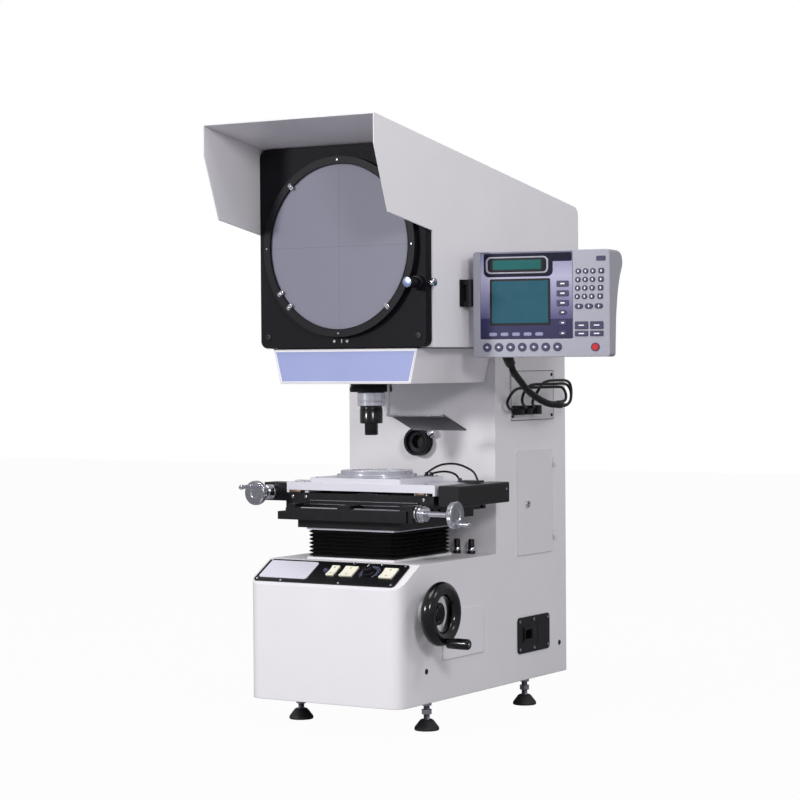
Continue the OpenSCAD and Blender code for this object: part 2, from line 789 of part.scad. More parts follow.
module screen_glass() {
  color("#9A9AA5") place() translate([0, ring_y + 5, screen_z]) rotate([-90, 0, 0])
    cylinder(h = glass_t, r = view_r + 3, $fn = 144);
}
module ring_knob() {
  color("#2B2B32") place() translate([rknob_x, 0, rknob_z]) {
    ycyl(panel_y - gap - 10, panel_y - gap, 0, 0, tyre_r);
    ycyl(panel_y - gap - 10 - rknob_l, panel_y - gap - 9, 0, 0, rknob_r);
    ycyl(panel_y - 5, panel_y1 - 1, 0, 0, 4);
  }
}
module ring_lock() {
  color("#D0D0D4") place() translate([0, panel_y + panel_t / 2, rknob_z]) {
    xcyl(rknob_x + 4 + gap, panel_w / 2 + 2, 0, 0, 3);
    xcyl(panel_w / 2 + gap, panel_w / 2 + 5, 0, 0, 5);
    xcyl(panel_w / 2 + 4.5, panel_w / 2 + 14, 0, 0, 7.5);
  }
}
module mirror_small() {
  color("#AEB7C2") place() {
    translate([0, axis_y, m1_z]) rotate([45 + m1_a / 2, 0, 0]) translate([-41, -55, 0]) cube([82, 110, 6]);
    for (s = [-1, 1]) along_x(s * 46 - 6, s * 46 + 6) polygon([[axis_y - 62, head_z + hood_wall],
      [axis_y + 40, head_z + hood_wall], [axis_y + 40, m1_z + 30], [axis_y + 24, m1_z + 30]]);
  }
}
module mirror_large() {
  color("#AEB7C2") place() {
    translate([0, m2_y, m2_z]) rotate([m1_a / 2, 0, 0]) translate([-110, 0, -100]) cube([220, 8, 196]);
    for (s = [-1, 1]) box(s * 116 - 6, s * 116 + 6, m2_y - 20, m2_y + 40, head_z + hood_wall, m2_z + 60);
  }
}

module lens_mount() {
  color("#1E1D24") place() difference() {
    zcyl(obj_z, low_z, 0, axis_y, mount_r);
    zcyl(obj_z - 1, low_z + 1, 0, axis_y, obj_spigot_r + fit);
  }
}
module objective() {
  color("#8A8A92") place() {
    difference() {
      union() {
        zcyl(obj_z1, obj_z - gap, 0, axis_y, obj_r0);
        zcyl(obj_z1, low_z + 4, 0, axis_y, obj_spigot_r);
        zcyl(obj_z2, obj_z1 + 1, 0, axis_y, obj_r1);
        zcyl(obj_z3, obj_z2 + 1, 0, axis_y, obj_r2);
      }
      zcyl(obj_z3 - 1, low_z + 5, 0, axis_y, obj_r2 - 3);
    }
    zcyl(obj_z3 + 3, obj_z3 + 8, 0, axis_y, obj_r2 - 3);
    zcyl(obj_z1 + 4, obj_z1 + 12, 0, axis_y, obj_r2 - 3);
  }
}
module reflector_arm() {
  color("#C6C6CC") place() translate([refl_x, refl_y, 0]) {
    zcyl(low_z - refl_dz, low_z + wall, 0, 0, refl_r);
    translate([0, 0, low_z - refl_dz]) rotate([-20, 0, 0]) {
      translate([-3, -3, -2]) cube([refl_w + 3, 3, 3]);
      translate([-3, -3, -3]) cube([refl_w + 3, 8, 1]);
    }
  }
}
module reflector_mirror() {
  color("#5A5F6A") place() translate([refl_x, refl_y, low_z - refl_dz]) rotate([-20, 0, 0])
    translate([refl_r + 1, 0, -2]) cube([refl_w - refl_r - 1, refl_l, 3]);
}
module surface_lamp() {
  color("#1D1C22") place() difference() {
    union() {
      ycyl(column_y - lamp_l, column_y, 0, lamp_z, lamp_r);
      ycyl(column_y - 1, column_y + 60, 0, lamp_z, lamp_r - 7);
    }
    ycyl(column_y - lamp_l - 1, column_y - lamp_l + 8, 0, lamp_z, lamp_r - 6);
    ycyl(column_y - lamp_l - 1, column_y + 50, 0, lamp_z, lamp_r - 14);
  }
}

module bellows() {
  n = 7;
  p = bellows_h / n;
  color("#1A191E") place() difference() {
    union() {
      box(-bellows_w / 2 + fold_d, bellows_w / 2 - fold_d, bellows_y + fold_d, bel_y1 - fold_d, bel_z, bel_z1);
      for (k = [0 : n - 1])
        box(-bellows_w / 2, bellows_w / 2, bellows_y, bel_y1, bel_z + (k + 0.3) * p, bel_z + (k + 0.7) * p);
    }
    box(-open_w / 2, open_w / 2, bellows_y + fold_d + 4, bel_y1 - fold_d - 4, bel_z - 1, bel_z1 + 1);
  }
}
module lift_flange() {
  color("#E8E6EA") place() difference() {
    flange_box(bel_z1, flange_z1);
    box(-open_w / 2, open_w / 2, bellows_y + fold_d + 4, bel_y1 - fold_d - 4, bel_z1 - 1, flange_z1 + 1);
  }
}
module stage_base() {
  sleeve_z = deck_z - 90;
  color("#1C1B21") place() difference() {
    union() {
      box(-sbase_w / 2 + 28, sbase_w / 2 - 28, sbase_y + 26, sbase_y1, flange_z1, splate_z);
      box(-sbase_w / 2, sbase_w / 2, sbase_y, sbase_y1, splate_z, sbase_z1);
      for (y = [rail_y0, rail_y1])
        box(-sbase_w / 2 + 4, sbase_w / 2 - 4, y - rail_w / 2, y + rail_w / 2, sbase_z1 - 1, sbase_z1 + rail_h);
      box(sbase_w / 2 - 16, bear_x, xs_y - 16, xs_y + 16, splate_z, xs_z + 14);
      box(-124, sbase_w / 2, sbase_y, sbase_y + 3, splate_z, xs_z + 5);
      box(-124, -106, xs_y - 14, xs_y + 14, splate_z, xs_z + 12);
      for (s = [-1, 1]) zcyl(sleeve_z, flange_z1 + 1, s * guide_x, guide_y, guide_r + 6);
      zcyl(deck_z - 26, flange_z1 + 1, 0, screw_y, screw_r + 9);
    }
    box(-106, sbase_w / 2 - 16, xs_y - 14, xs_y + 14, splate_z + 4, sbase_z1 + 1);
    xcyl(-130, bear_x + 1, xs_y, xs_z, xs_r + fit);
    zcyl(flange_z1 - 1, sbase_z1 + 1, 0, axis_y, light_r);
    for (s = [-1, 1]) zcyl(sleeve_z - 1, sbase_z1 - 3, s * guide_x, guide_y, guide_r + fit);
    zcyl(deck_z - 27, sbase_z1 - 3, 0, screw_y, screw_r + fit);
  }
}
module lift_screw() {
  color("#A9A9AE") place() {
    zcyl(wheel_z + 20 + gap, flange_z1 - 6, 0, screw_y, screw_r);
    zcyl(wheel_z + 4, wheel_z + 22, 0, screw_y, screw_r - 2);
  }
}
module lift_guides() {
  color("#B4B4B9") place() for (s = [-1, 1])
    zcyl(cabinet_z + wall, flange_z1 - 4, s * guide_x, guide_y, guide_r);
}
module lift_gearbox() {
  z0 = wheel_z - 20;
  z1 = wheel_z + 20;
  color("#6E7076") place() difference() {
    union() {
      box(92, 132, wheel_y - 20, wheel_y + 20, z0, z1);
      ycyl(wheel_y + 19, screw_y - 15, 112, wheel_z, 14);
      box(-22, 130, screw_y - 16, screw_y + 20, z0, z1);
      box(102, 122, wheel_y - 12, wheel_y + 12, cabinet_z + wall, z0 + 1);
      box(40, 60, screw_y - 10, screw_y + 16, cabinet_z + wall, z0 + 1);
    }
    xcyl(112, 133, wheel_y, wheel_z, shaft_r + fit);
    zcyl(z1 - 20, z1 + 1, 0, screw_y, screw_r - 2 + fit);
  }
}
module handwheel() {
  color("#1A1A1F") place() translate([wheel_x, wheel_y, wheel_z]) rotate([0, 90, 0]) {
    rotate_extrude() {
      translate([wheel_r, 0]) circle(rim_r);
      translate([shaft_r, -18]) square([hub_r - shaft_r, 14]);
    }
    for (a = [210, 330]) rotate(a) translate([hub_r - 2, -spoke_w / 2, -13])
      cube([wheel_r - hub_r, spoke_w, 7]);
    translate([handle_path_r, 0, 0]) cylinder(h = rim_r + handle_l - 8, r = 4);
  }
}
module handwheel_shaft() {
  color("#A9A9AE") place() {
    xcyl(114, wheel_x - 3, wheel_y, wheel_z, shaft_r);
    xcyl(wheel_x - 4, wheel_x - 1, wheel_y, wheel_z, 14);
  }
}
module handwheel_handle() {
  x0 = wheel_x + rim_r + gap + 0.5;
  color("#1A1A1F") place() difference() {
    translate([x0, wheel_y, wheel_z - handle_path_r]) rotate([0, 90, 0]) rotate_extrude()
      polygon([[0, 0], [handle_r - 1, 0], [handle_r, 3], [handle_r, handle_l - 4], [handle_r - 3, handle_l],
      [0, handle_l]]);
    xcyl(x0 - 1, x0 + handle_l - 4, wheel_y, wheel_z - handle_path_r, 4 + fit);
  }
}

module saddle() {
  color("#1C1B21") place() difference() {
    union() {
      box(saddle_x0, saddle_x1, saddle_y, saddle_y1, saddle_z, saddle_z1);
      for (x = [yrail_x0, yrail_x1])
        box(x - rail_w / 2, x + rail_w / 2, saddle_y + 4, saddle_y1 - 4, saddle_z1 - 1, saddle_z1 + way_h);
      box(-14, 14, xs_y - 11, xs_y + 11, xs_z - 9, xs_z + 11);
      box(-14, 14, xs_y, saddle_y + 1, saddle_z, xs_z + 11);
    }
    for (y = [rail_y0, rail_y1]) box(saddle_x0 - 1, saddle_x1 + 1, y - rail_w / 2 - gap, y + rail_w / 2 + gap,
      saddle_z - 1, sbase_z1 + rail_h + gap);
    box(-112, 112, rail_y0 + 9, rail_y1 - 9, saddle_z - 1, saddle_z1 + 1);
    xcyl(-15, 15, xs_y, xs_z, xs_r + fit);
  }
}
module x_crank() {
  e = bear_x;
  color("#C9C9CF") place() translate([0, xs_y, xs_z]) {
    xcyl(-123, e + 4, 0, 0, xs_r);
    xcyl(e + gap, e + 11, 0, 0, 16);
    xcyl(e + 10, e + 20, 0, 0, 14);
    xcyl(e + 19, e + 74, 0, 0, 5);
    translate([e + 66, 0, 0]) rotate([0, 90, 0]) rotate_extrude()
      polygon([[0, 0], [6, 0], [xdisc_r - 2, 8], [xdisc_r, 10], [xdisc_r, 16], [xdisc_r - 2, 19], [0, 19]]);
    xcyl(e + 84, e + 110, 0, -17, 5);
  }
}
module table() {
  nut_y = saddle_y + 90;
  color("#DDDCE2") place() difference() {
    union() {
      box(table_x0, table_x1, table_y, table_y + table_l, table_z, table_z1);
      box(table_x0, table_x0 + 5, table_y, table_y + table_l, saddle_z1 + gap, table_z + 1);
      box(table_x1 - 5, table_x1, table_y, table_y + table_l, saddle_z1 + gap, table_z + 1);
      for (x = [yrail_x0, yrail_x1]) for (s = [-1, 1]) box(x + s * (rail_w / 2 + gap + 4) - 4,
        x + s * (rail_w / 2 + gap + 4) + 4, table_y + 6, table_y + table_l - 6, saddle_z1 + gap, table_z + 1);
      box(ys_x + 8, table_x0 + 1, nut_y, nut_y + 16, table_z + 1, table_z1 - 2);
      box(ys_x - 12, ys_x + 12, nut_y, nut_y + 16, ys_z - 10, table_z1 - 2);
    }
    zcyl(table_z - 1, table_z1 + 1, 0, rotary_y, spigot_r + gap);
    ycyl(nut_y - 1, nut_y + 17, ys_x, ys_z, ys_r + fit);
  }
}
module y_bracket() {
  color("#17161B") place() difference() {
    box(ybr_x0, saddle_x0, saddle_y, saddle_y + ybr_l, saddle_z + 16, table_z1 - 2);
    ycyl(saddle_y - 1, saddle_y + ybr_l + 1, ys_x, ys_z, ys_r + fit);
  }
}
module y_crank() {
  f = saddle_y - gap;
  color("#C9C9CF") place() translate([ys_x, 0, ys_z]) {
    ycyl(f - 60, saddle_y + 122, 0, 0, ys_r);
    ycyl(f - 30, f, 0, 0, 14);
    ycyl(f - 48, f - 29, 0, 0, 7);
    ycyl(f - 62, f - 47, 0, 0, ydisc_r);
    ycyl(f - 92, f - 61, -10, 12, 4.8);
  }
}
module scale_cover() {
  color("#141318") place() {
    along_y(saddle_y, saddle_y + cover_l) translate([cover_x1 - cover_w / 2, table_z1 - 1 - cover_h / 2])
      round_rect(cover_w, cover_h, 3);
    box(saddle_x1, cover_x1 - cover_w + 1, saddle_y + 20, saddle_y + cover_l - 20, saddle_z + 16,
      saddle_z1 - 2);
  }
}
module scale_reader() {
  color("#19181D") place()
    box(table_x1 - 12, cover_x1 - 20, reader_y - 11, reader_y + 11, table_z1, table_z1 + 4);
}
module rotary_plate() {
  color("#D6D5DC") place() difference() {
    translate([0, rotary_y, table_z1]) linear_extrude(rplate_t) round_rect(rplate_w, rplate_l, 4);
    zcyl(table_z1 - 1, rplate_z1 + 1, 0, rotary_y, spigot_r + gap);
  }
}
module rotary_ring() {
  color("#CFCFD8") place() translate([0, rotary_y, 0]) difference() {
    union() {
      zcyl(rring_z, rring_z + 5, 0, 0, rring_r);
      zcyl(rring_z, rring_z1, 0, 0, rring_r - 7);
      zcyl(rplate_z1 - 7, rring_z + 1, 0, 0, spigot_r);
    }
    zcyl(rplate_z1 - 8, rring_z1 + 1, 0, 0, sglass_r - 3);
    zcyl(rring_z1 - sglass_t - 1, rring_z1 + 1, 0, 0, sglass_r);
  }
}
module stage_glass() {
  color("#BFD0D6") place() zcyl(rring_z1 - sglass_t - 1, rring_z1 - 1, 0, rotary_y, sglass_r);
}
module lamp_unit() {
  z = cabinet_z + 60;
  color("#8D8D92") place() {
    difference() {
      box(-48, 48, 400, 500, cabinet_z + wall, z + 50);
      box(-44, 44, 404, 496, cabinet_z + wall + 4, z + 46);
      ycyl(399, 405, 0, z, 30);
    }
    ycyl(440, 470, 0, z, 8);
    ycyl(469, 498, 0, z, 16);
  }
}
module condenser() {
  z = cabinet_z + 60;
  color("#3A3A40") place() {
    difference() {
      zcyl(z + 52, deck_z - 20, 0, axis_y, light_r);
      zcyl(z + 51, deck_z - 19, 0, axis_y, light_r - 3);
    }
    zcyl(deck_z - 40, deck_z - 26, 0, axis_y, light_r - 3);
    for (s = [-1, 1])
      box(s * (light_r - 3) - 3, s * (light_r - 3) + 3, axis_y - 8, axis_y + 8, cabinet_z + wall, z + 56);
    along_x(-28, 28) polygon([[axis_y - 55, cabinet_z + wall], [axis_y - 42, cabinet_z + wall],
      [axis_y + 45, z + 42], [axis_y + 38, z + 48], [axis_y - 55, z - 45]]);
  }
}

module console_bracket() {
  z0 = con_z + 94;
  z1 = z0 + 50;
  color("#17171B") place() {
    box(head_w / 2, head_w / 2 + 2, pivot_y - 15, pivot_y + 25, z0, z1);
    for (z = [z0, z1 - 10]) {
      box(head_w / 2 + 1, pivot_x, pivot_y - lug_r, pivot_y + lug_r, z, z + 10);
      zcyl(z, z + 10, pivot_x, pivot_y, lug_r);
    }
    zcyl(z0 + 1, z1 - 1, pivot_x, pivot_y, pivot_r);
  }
}
module console_arm() {
  z0 = con_z + 104 + gap;
  z1 = con_z + 134 - gap;
  color("#17171B") place() translate([0, 0, z0]) linear_extrude(z1 - z0) difference() {
    union() {
      translate([pivot_x, pivot_y]) circle(lug_r);
      translate([con_x, con_y]) rotate(con_yaw) translate([-4, 2]) square([4, 20]);
    }
    translate([pivot_x, pivot_y]) circle(pivot_r + fit);
  }
}
module console_profile() {
  polygon([for (p = [[0, 0], [0.42, 0], [0.43, 0.1], [0.48, 0.37], [0.56, 0.52], [0.65, 0.64], [0.81, 0.77],
    [0.97, 0.85], [1, 0.89], [0.94, 0.95], [0.76, 0.99], [0.66, 1], [0, 1]]) [con_d * p[0], con_h * p[1]]]);
}
module console_case() {
  color("#B9B9C6") place() console_frame() difference() {
    union() {
      translate([gland_x, gland_y, 0]) rotate([-90 - gland_a, 0, 0]) translate([0, 0, -14])
        cylinder(h = 14 + gland_l, r = 9);
      intersection() {
        along_x(0, con_w) console_profile();
        along_y(-1, con_d + 1) translate([con_w / 2, con_h / 2]) round_rect(con_w, con_h, con_r);
      }
    }
    box(con_u(8), con_u(180), -1, 1.5, 33, con_h - 2.5);
    ycyl(-1, 4, power_x, 17.5, 6.4);
  }
}
module console_display() {
  color("#2F6E78") place() console_frame() {
    box(con_u(30), con_u(123), 0.3, 1.5, 159, 180);
    box(con_u(29), con_u(136), 0.3, 1.5, 61, 141);
  }
}
module key(x, z, w, h) {
  box(con_u(x) - w / 2, con_u(x) + w / 2, -1.5, 0, z - h / 2, z + h / 2);
}
module round_key(x, z, r) {
  ycyl(-1.5, 0, con_u(x), z, r);
}
module console_keys() {
  color("#C3C5D4") place() console_frame() {
    for (k = [0 : 6]) round_key(21 + 21.7 * k, 18.5, 8);
    for (i = [0 : 2]) for (j = [0 : 3]) round_key(189.9 + 13.2 * i - 0.75 * j, 155 - 15.3 * j, 5);
    for (j = [0 : 3]) key(231.6 - 0.75 * j, 155 - 15.3 * j, 10, 10);
    for (i = [0 : 2]) key(190.8 + 18 * i, 91.5, 14, 8);
    for (i = [0, 1]) key(195.2 + 27.7 * i, 57, 23, 13);
    for (i = [0, 1]) key(195.2 + 27.7 * i, 42, 23, 9);
    translate([0, 1.5, 0]) for (j = [0 : 2]) key(161, 133 - 17.5 * j, 22, 11);
    translate([0, 1.5, 0]) for (j = [0 : 2]) key(161, 81 - 19 * j, 20, 8);
    translate([0, 1.5, 0]) for (i = [0 : 4]) key(32 + 21.4 * i, 42, 14, 8);
  }
}
module console_power_key() {
  color("#B22A2A") place() console_frame() ycyl(-2, 2.5, power_x, 17.5, 6);
}

module console_conduit() {
  color("#131317") place() tube(conduit_pts, conduit_d, 3, 10);
}
module console_leads() {
  color("#131317") place() {
    tube(lead_a, lead_d, 3, 8);
    tube(lead_b, lead_d, 3, 8);
    tube(lead_c, lead_d, 3, 8);
  }
}
module stage_leads() {
  color("#131317") place() {
    tube(stage_a, stage_d, 3, 8);
    tube(stage_b, stage_d, 3, 8);
  }
}

base_cabinet();
control_panel();
rocker_narrow();
rocker_mid();
rocker_right();
brightness_knob();
column_door();
door_lock();
connector_plate();
plugs();
access_cover();
inlet_plate();
foot_fl();
foot_fr();
foot_rl();
foot_rr();
upper_housing();
lower_head();
screen_panel();
screen_ring();
screen_glass();
ring_knob();
ring_lock();
mirror_small();
mirror_large();
lens_mount();
objective();
reflector_arm();
reflector_mirror();
surface_lamp();
bellows();
lift_flange();
stage_base();
lift_screw();
lift_guides();
lift_gearbox();
handwheel();
handwheel_shaft();
handwheel_handle();
saddle();
x_crank();
table();
y_bracket();
y_crank();
scale_cover();
scale_reader();
rotary_plate();
rotary_ring();
stage_glass();
lamp_unit();
condenser();
console_bracket();
console_arm();
console_case();
console_display();
console_keys();
console_power_key();
console_conduit();
console_leads();
stage_leads();
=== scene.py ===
"""Looks of the optical comparator: camera, light, finishes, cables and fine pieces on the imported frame."""
import math

import bmesh
import bpy
from mathutils import Matrix, Vector


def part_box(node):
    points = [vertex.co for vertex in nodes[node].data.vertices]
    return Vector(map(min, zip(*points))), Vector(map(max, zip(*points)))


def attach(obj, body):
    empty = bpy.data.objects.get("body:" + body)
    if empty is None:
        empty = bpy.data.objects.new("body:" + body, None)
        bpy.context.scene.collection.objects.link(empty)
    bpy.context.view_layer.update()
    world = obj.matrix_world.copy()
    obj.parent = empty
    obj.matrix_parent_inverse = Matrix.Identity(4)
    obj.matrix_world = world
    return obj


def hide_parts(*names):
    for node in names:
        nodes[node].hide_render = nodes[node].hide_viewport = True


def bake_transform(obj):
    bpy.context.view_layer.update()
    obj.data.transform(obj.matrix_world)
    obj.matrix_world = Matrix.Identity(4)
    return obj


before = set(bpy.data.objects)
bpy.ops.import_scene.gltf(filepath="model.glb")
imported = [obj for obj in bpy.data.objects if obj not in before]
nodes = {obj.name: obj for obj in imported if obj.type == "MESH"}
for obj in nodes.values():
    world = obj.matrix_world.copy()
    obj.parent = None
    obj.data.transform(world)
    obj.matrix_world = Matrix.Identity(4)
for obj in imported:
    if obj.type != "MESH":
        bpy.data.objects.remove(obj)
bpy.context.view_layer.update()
MM = 0.001
RIGHT, BACK, FRONT, UP = (1, 0, 0), (0, 1, 0), (0, -1, 0), (0, 0, 1)


def span(node, axis):
    """Lowest and highest value of a node along an axis, in metres."""
    low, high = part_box(node)
    return low[axis], high[axis]


# The machine's own zero: middle plane of the lens mount, front face of the cabinet, floor.
zero = Vector((sum(span("lens_mount", 0)) / 2, span("base_cabinet", 1)[0], 0))


def at(x, y, z):
    """A point of the machine, in mm from its zero, as metres in the frame."""
    return zero + Vector((x, y, z)) * MM


# Small makers: colours, shader nodes, meshes.
MIX_A, MIX_B, MIX_OUT = 6, 7, 2  # colour sockets of a mix node


def tone(code):
    """sRGB hex to linear RGBA."""
    parts = [int(code[i:i + 2], 16) / 255 for i in (1, 3, 5)]
    return [c / 12.92 if c <= 0.04045 else ((c + 0.055) / 1.055) ** 2.4 for c in parts] + [1]


def add(tree, kind, links=(), **settings):
    """Adds a shader node: settings go to its sockets or to the node itself, links feed its inputs."""
    made = tree.nodes.new(kind)
    for name, value in settings.items():
        socket = made.inputs.get(name.replace("_", " "))
        if socket is not None:
            socket.default_value = value
        else:
            setattr(made, name, value)
    for name, source in dict(links).items():
        tree.links.new(source, made.inputs[name])
    return made


def finish(name):
    """A new material with its shader and output, its object coordinates and its tree."""
    mat = bpy.data.materials.new(name)
    mat.use_nodes = True
    tree = mat.node_tree
    return mat, tree, tree.nodes["Principled BSDF"], add(tree, "ShaderNodeTexCoord").outputs["Object"]


def coloured(name, dark, light, rough, metallic=0.0, grain=0.4, bump=0.15, edge=1.0, spread=0.08,
             stretch=(1, 1, 1), coat=0.0, specular=0.5):
    """A surface that drifts between two close tones; bump and gloss vary at its grain, in mm."""
    mat, tree, shader, where = finish(name)
    scaled = add(tree, "ShaderNodeMapping", {"Vector": where}, Scale=[s / (grain * MM) / 6 for s in stretch])
    fine = add(tree, "ShaderNodeTexNoise", {"Vector": scaled.outputs["Vector"]}, Scale=1.0, Detail=4.0)
    broad = add(tree, "ShaderNodeTexNoise", {"Vector": where}, Scale=9.0, Detail=3.0)
    mixed = add(tree, "ShaderNodeMix", {"Factor": broad.outputs["Fac"]}, data_type="RGBA")
    mixed.inputs[MIX_A].default_value = tone(dark)
    mixed.inputs[MIX_B].default_value = tone(light)
    tree.links.new(mixed.outputs[MIX_OUT], shader.inputs["Base Color"])
    gloss = add(tree, "ShaderNodeMapRange", {"Value": fine.outputs["Fac"]}, To_Min=max(rough - spread, 0.02),
                To_Max=min(rough + spread, 1))
    tree.links.new(gloss.outputs["Result"], shader.inputs["Roughness"])
    height = add(tree, "ShaderNodeBump", {"Height": fine.outputs["Fac"]}, Strength=bump, Distance=0.0002)
    eased = add(tree, "ShaderNodeBevel", {"Normal": height.outputs["Normal"]}, samples=4, Radius=edge * MM)
    tree.links.new(eased.outputs["Normal"], shader.inputs["Normal"])
    shader.inputs["Metallic"].default_value = metallic
    shader.inputs["Coat Weight"].default_value = coat
    shader.inputs["Specular IOR Level"].default_value = specular
    return mat


def clear(name, colour, rough, ior=1.5):
    """Clear glass or moulded window."""
    mat, tree, shader, where = finish(name)
    haze = add(tree, "ShaderNodeTexNoise", {"Vector": where}, Scale=30.0, Detail=2.0)
    gloss = add(tree, "ShaderNodeMapRange", {"Value": haze.outputs["Fac"]}, To_Min=rough,
                To_Max=rough + 0.03)
    tree.links.new(gloss.outputs["Result"], shader.inputs["Roughness"])
    shader.inputs["Base Color"].default_value = tone(colour)
    shader.inputs["Transmission Weight"].default_value = 0.9
    shader.inputs["IOR"].default_value = ior
    return mat


def piece(name, bm, material, body, smooth=35, replaces=None):
    """A mesh made into an object that rides on a body, and that stands for a CAD node where one is named."""
    mesh = bpy.data.meshes.new(name)
    bmesh.ops.recalc_face_normals(bm, faces=bm.faces)
    bm.to_mesh(mesh)
    bm.free()
    obj = bpy.data.objects.new(name, mesh)
    bpy.context.collection.objects.link(obj)
    mesh.materials.append(material)
    if smooth:
        mesh.shade_smooth()
        mesh.set_sharp_from_angle(angle=math.radians(smooth))
    if body:
        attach(obj, body)
    if replaces:
        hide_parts(replaces)
    return obj


def block(bm, low, high, bevel=0.0, place=None, segments=2):
    """A box between two corners, mm in the machine's or a piece's own axes, with its edges rounded."""
    size = [h - l for l, h in zip(low, high)]
    mid = [(l + h) / 2 for l, h in zip(low, high)]
    made = bmesh.ops.create_cube(bm, size=1.0)["verts"]
    bmesh.ops.scale(bm, vec=size, verts=made)
    bmesh.ops.translate(bm, vec=mid, verts=made)
    if bevel:
        edges = list({e for v in made for e in v.link_edges})
        out = bmesh.ops.bevel(bm, geom=edges, offset=bevel, segments=segments, affect="EDGES", profile=0.5)
        made = list({v for f in out["faces"] for v in f.verts} | {v for v in made if v.is_valid})
    into_frame(bm, made, place)


def into_frame(bm, verts, place):
    """Moves mm points to metres in the frame, through a piece's own axes where they are given."""
    grid = Matrix.Translation(zero) @ Matrix.Scale(MM, 4)
    bmesh.ops.transform(bm, matrix=grid @ place if place else grid, verts=verts)


def lathe(bm, profile, place, steps=48):
    """A turned shape: (radius, height) points in mm swept about the place's own Z axis."""
    rings = []
    for r, h in profile:
        if r < 1e-6:
            rings.append([bm.verts.new((0, 0, h))])
        else:
            turns = [2 * math.pi * k / steps for k in range(steps)]
            rings.append([bm.verts.new((r * math.cos(a), r * math.sin(a), h)) for a in turns])
    for a, b in zip(rings, rings[1:]):
        for k in range(steps):
            n = (k + 1) % steps
            corners = [a[k % len(a)], a[n % len(a)], b[n % len(b)], b[k % len(b)]]
            corners = [v for i, v in enumerate(corners) if v not in corners[:i]]
            if len(corners) > 2:
                bm.faces.new(corners)
    into_frame(bm, [v for ring in rings for v in ring], place)


def facing(origin, z_axis, x_axis=RIGHT):
    """Axes of a piece, in the machine's mm: its origin, its Z direction and roughly its X direction."""
    z = Vector(z_axis).normalized()
    y = z.cross(Vector(x_axis)).normalized()
    x = y.cross(z)
    return Matrix.Translation(origin) @ Matrix((x, y, z)).transposed().to_4x4()


def plate(bm, outline, thick, place, z0=0.0):
    """A flat outline in mm, a list of points, given a thickness on its place."""
    low = [bm.verts.new((x, y, z0)) for x, y in outline]
    high = [bm.verts.new((x, y, z0 + thick)) for x, y in outline]
    n = len(outline)
    bm.faces.new(low[::-1])
    bm.faces.new(high)
    for k in range(n):
        bm.faces.new((low[k], low[(k + 1) % n], high[(k + 1) % n], high[k]))
    into_frame(bm, low + high, place)


def round_box(cx, cy, w, h, r, steps=6):
    """Outline of a rounded rectangle about a centre, mm."""
    points = []
    for k, (sx, sy) in enumerate(((1, 1), (-1, 1), (-1, -1), (1, -1))):
        for s in range(steps + 1):
            a = math.radians(90 * k + 90 * s / steps)
            points.append((cx + sx * (w / 2 - r) + r * math.cos(a), cy + sy * (h / 2 - r) + r * math.sin(a)))
    return points


def band(bm, outer, inner, thick, place, z0=0.0):
    """A flat frame between two outlines with the same number of points."""
    n = len(outer)
    loops = [[bm.verts.new((x, y, z)) for x, y in line] for line in (outer, inner) for z in (z0, z0 + thick)]
    ol, oh, il, ih = loops
    for k in range(n):
        j = (k + 1) % n
        bm.faces.new((oh[k], oh[j], ih[j], ih[k]))
        bm.faces.new((ol[j], ol[k], il[k], il[j]))
        bm.faces.new((ol[k], ol[j], oh[j], oh[k]))
        bm.faces.new((il[j], il[k], ih[k], ih[j]))
    into_frame(bm, [v for loop in loops for v in loop], place)


def turned(name, profile, place, material, body, steps=64, replaces=None):
    """A piece turned from one profile."""
    bm = bmesh.new()
    lathe(bm, profile, place, steps)
    piece(name, bm, material, body, replaces=replaces)


def flat(name, outlines, thick, place, z0, material, body, replaces=None):
    """A piece cut from sheet: outlines of one thickness on a place."""
    bm = bmesh.new()
    for outline in outlines:
        plate(bm, outline, thick, place, z0)
    piece(name, bm, material, body, replaces=replaces)


def edging(name, outer, inner, thick, place, z0, material, body):
    """A piece that is one flat frame between two outlines."""
    bm = bmesh.new()
    band(bm, outer, inner, thick, place, z0)
    piece(name, bm, material, body)


def smooth_route(points, per=4):
    """Points on the smooth curve through given points."""
    out = []
    for i in range(len(points) - 1):
        a, b = points[max(i - 1, 0)], points[i]
        c, d = points[i + 1], points[min(i + 2, len(points) - 1)]
        for k in range(per):
            t = k / per
            out.append(0.5 * (2 * b + (c - a) * t + (2 * a - 5 * b + 4 * c - d) * t * t
                              + (3 * b - a - 3 * c + d) * t * t * t))
    return out + [points[-1]]


def hose(bm, line, radius, sides=16, ripple=0.0):
    """A tube along points in metres; a ripple makes it a ribbed conduit."""
    tangents = [(line[min(i + 1, len(line) - 1)] - line[max(i - 1, 0)]).normalized()
                for i in range(len(line))]
    across = tangents[0].orthogonal().normalized()
    rings = []
    for i, (p, t) in enumerate(zip(line, tangents)):
        across = (across - across.dot(t) * t).normalized()
        other = t.cross(across)
        r = radius - ripple * (i % 2)
        turns = [2 * math.pi * k / sides for k in range(sides)]
        rings.append([bm.verts.new(p + r * (math.cos(a) * across + math.sin(a) * other)) for a in turns])
    for a, b in zip(rings, rings[1:]):
        for k in range(sides):
            bm.faces.new((a[k], a[(k + 1) % sides], b[(k + 1) % sides], b[k]))
    bm.faces.new(rings[0][::-1])
    bm.faces.new(rings[-1])


def line_length(line):
    """Length of a line of points."""
    return sum((b - a).length for a, b in zip(line, line[1:]))


def even(line, step):
    """Points at even steps along a line."""
    total = line_length(line)
    count = max(2, round(total / step))
    out, i, run = [line[0].copy()], 0, 0.0
    for k in range(1, count):
        goal = total * k / count
        while run + (line[i + 1] - line[i]).length < goal:
            run += (line[i + 1] - line[i]).length
            i += 1
        part = (goal - run) / (line[i + 1] - line[i]).length
        out.append(line[i].lerp(line[i + 1], part))
    return out + [line[-1].copy()]


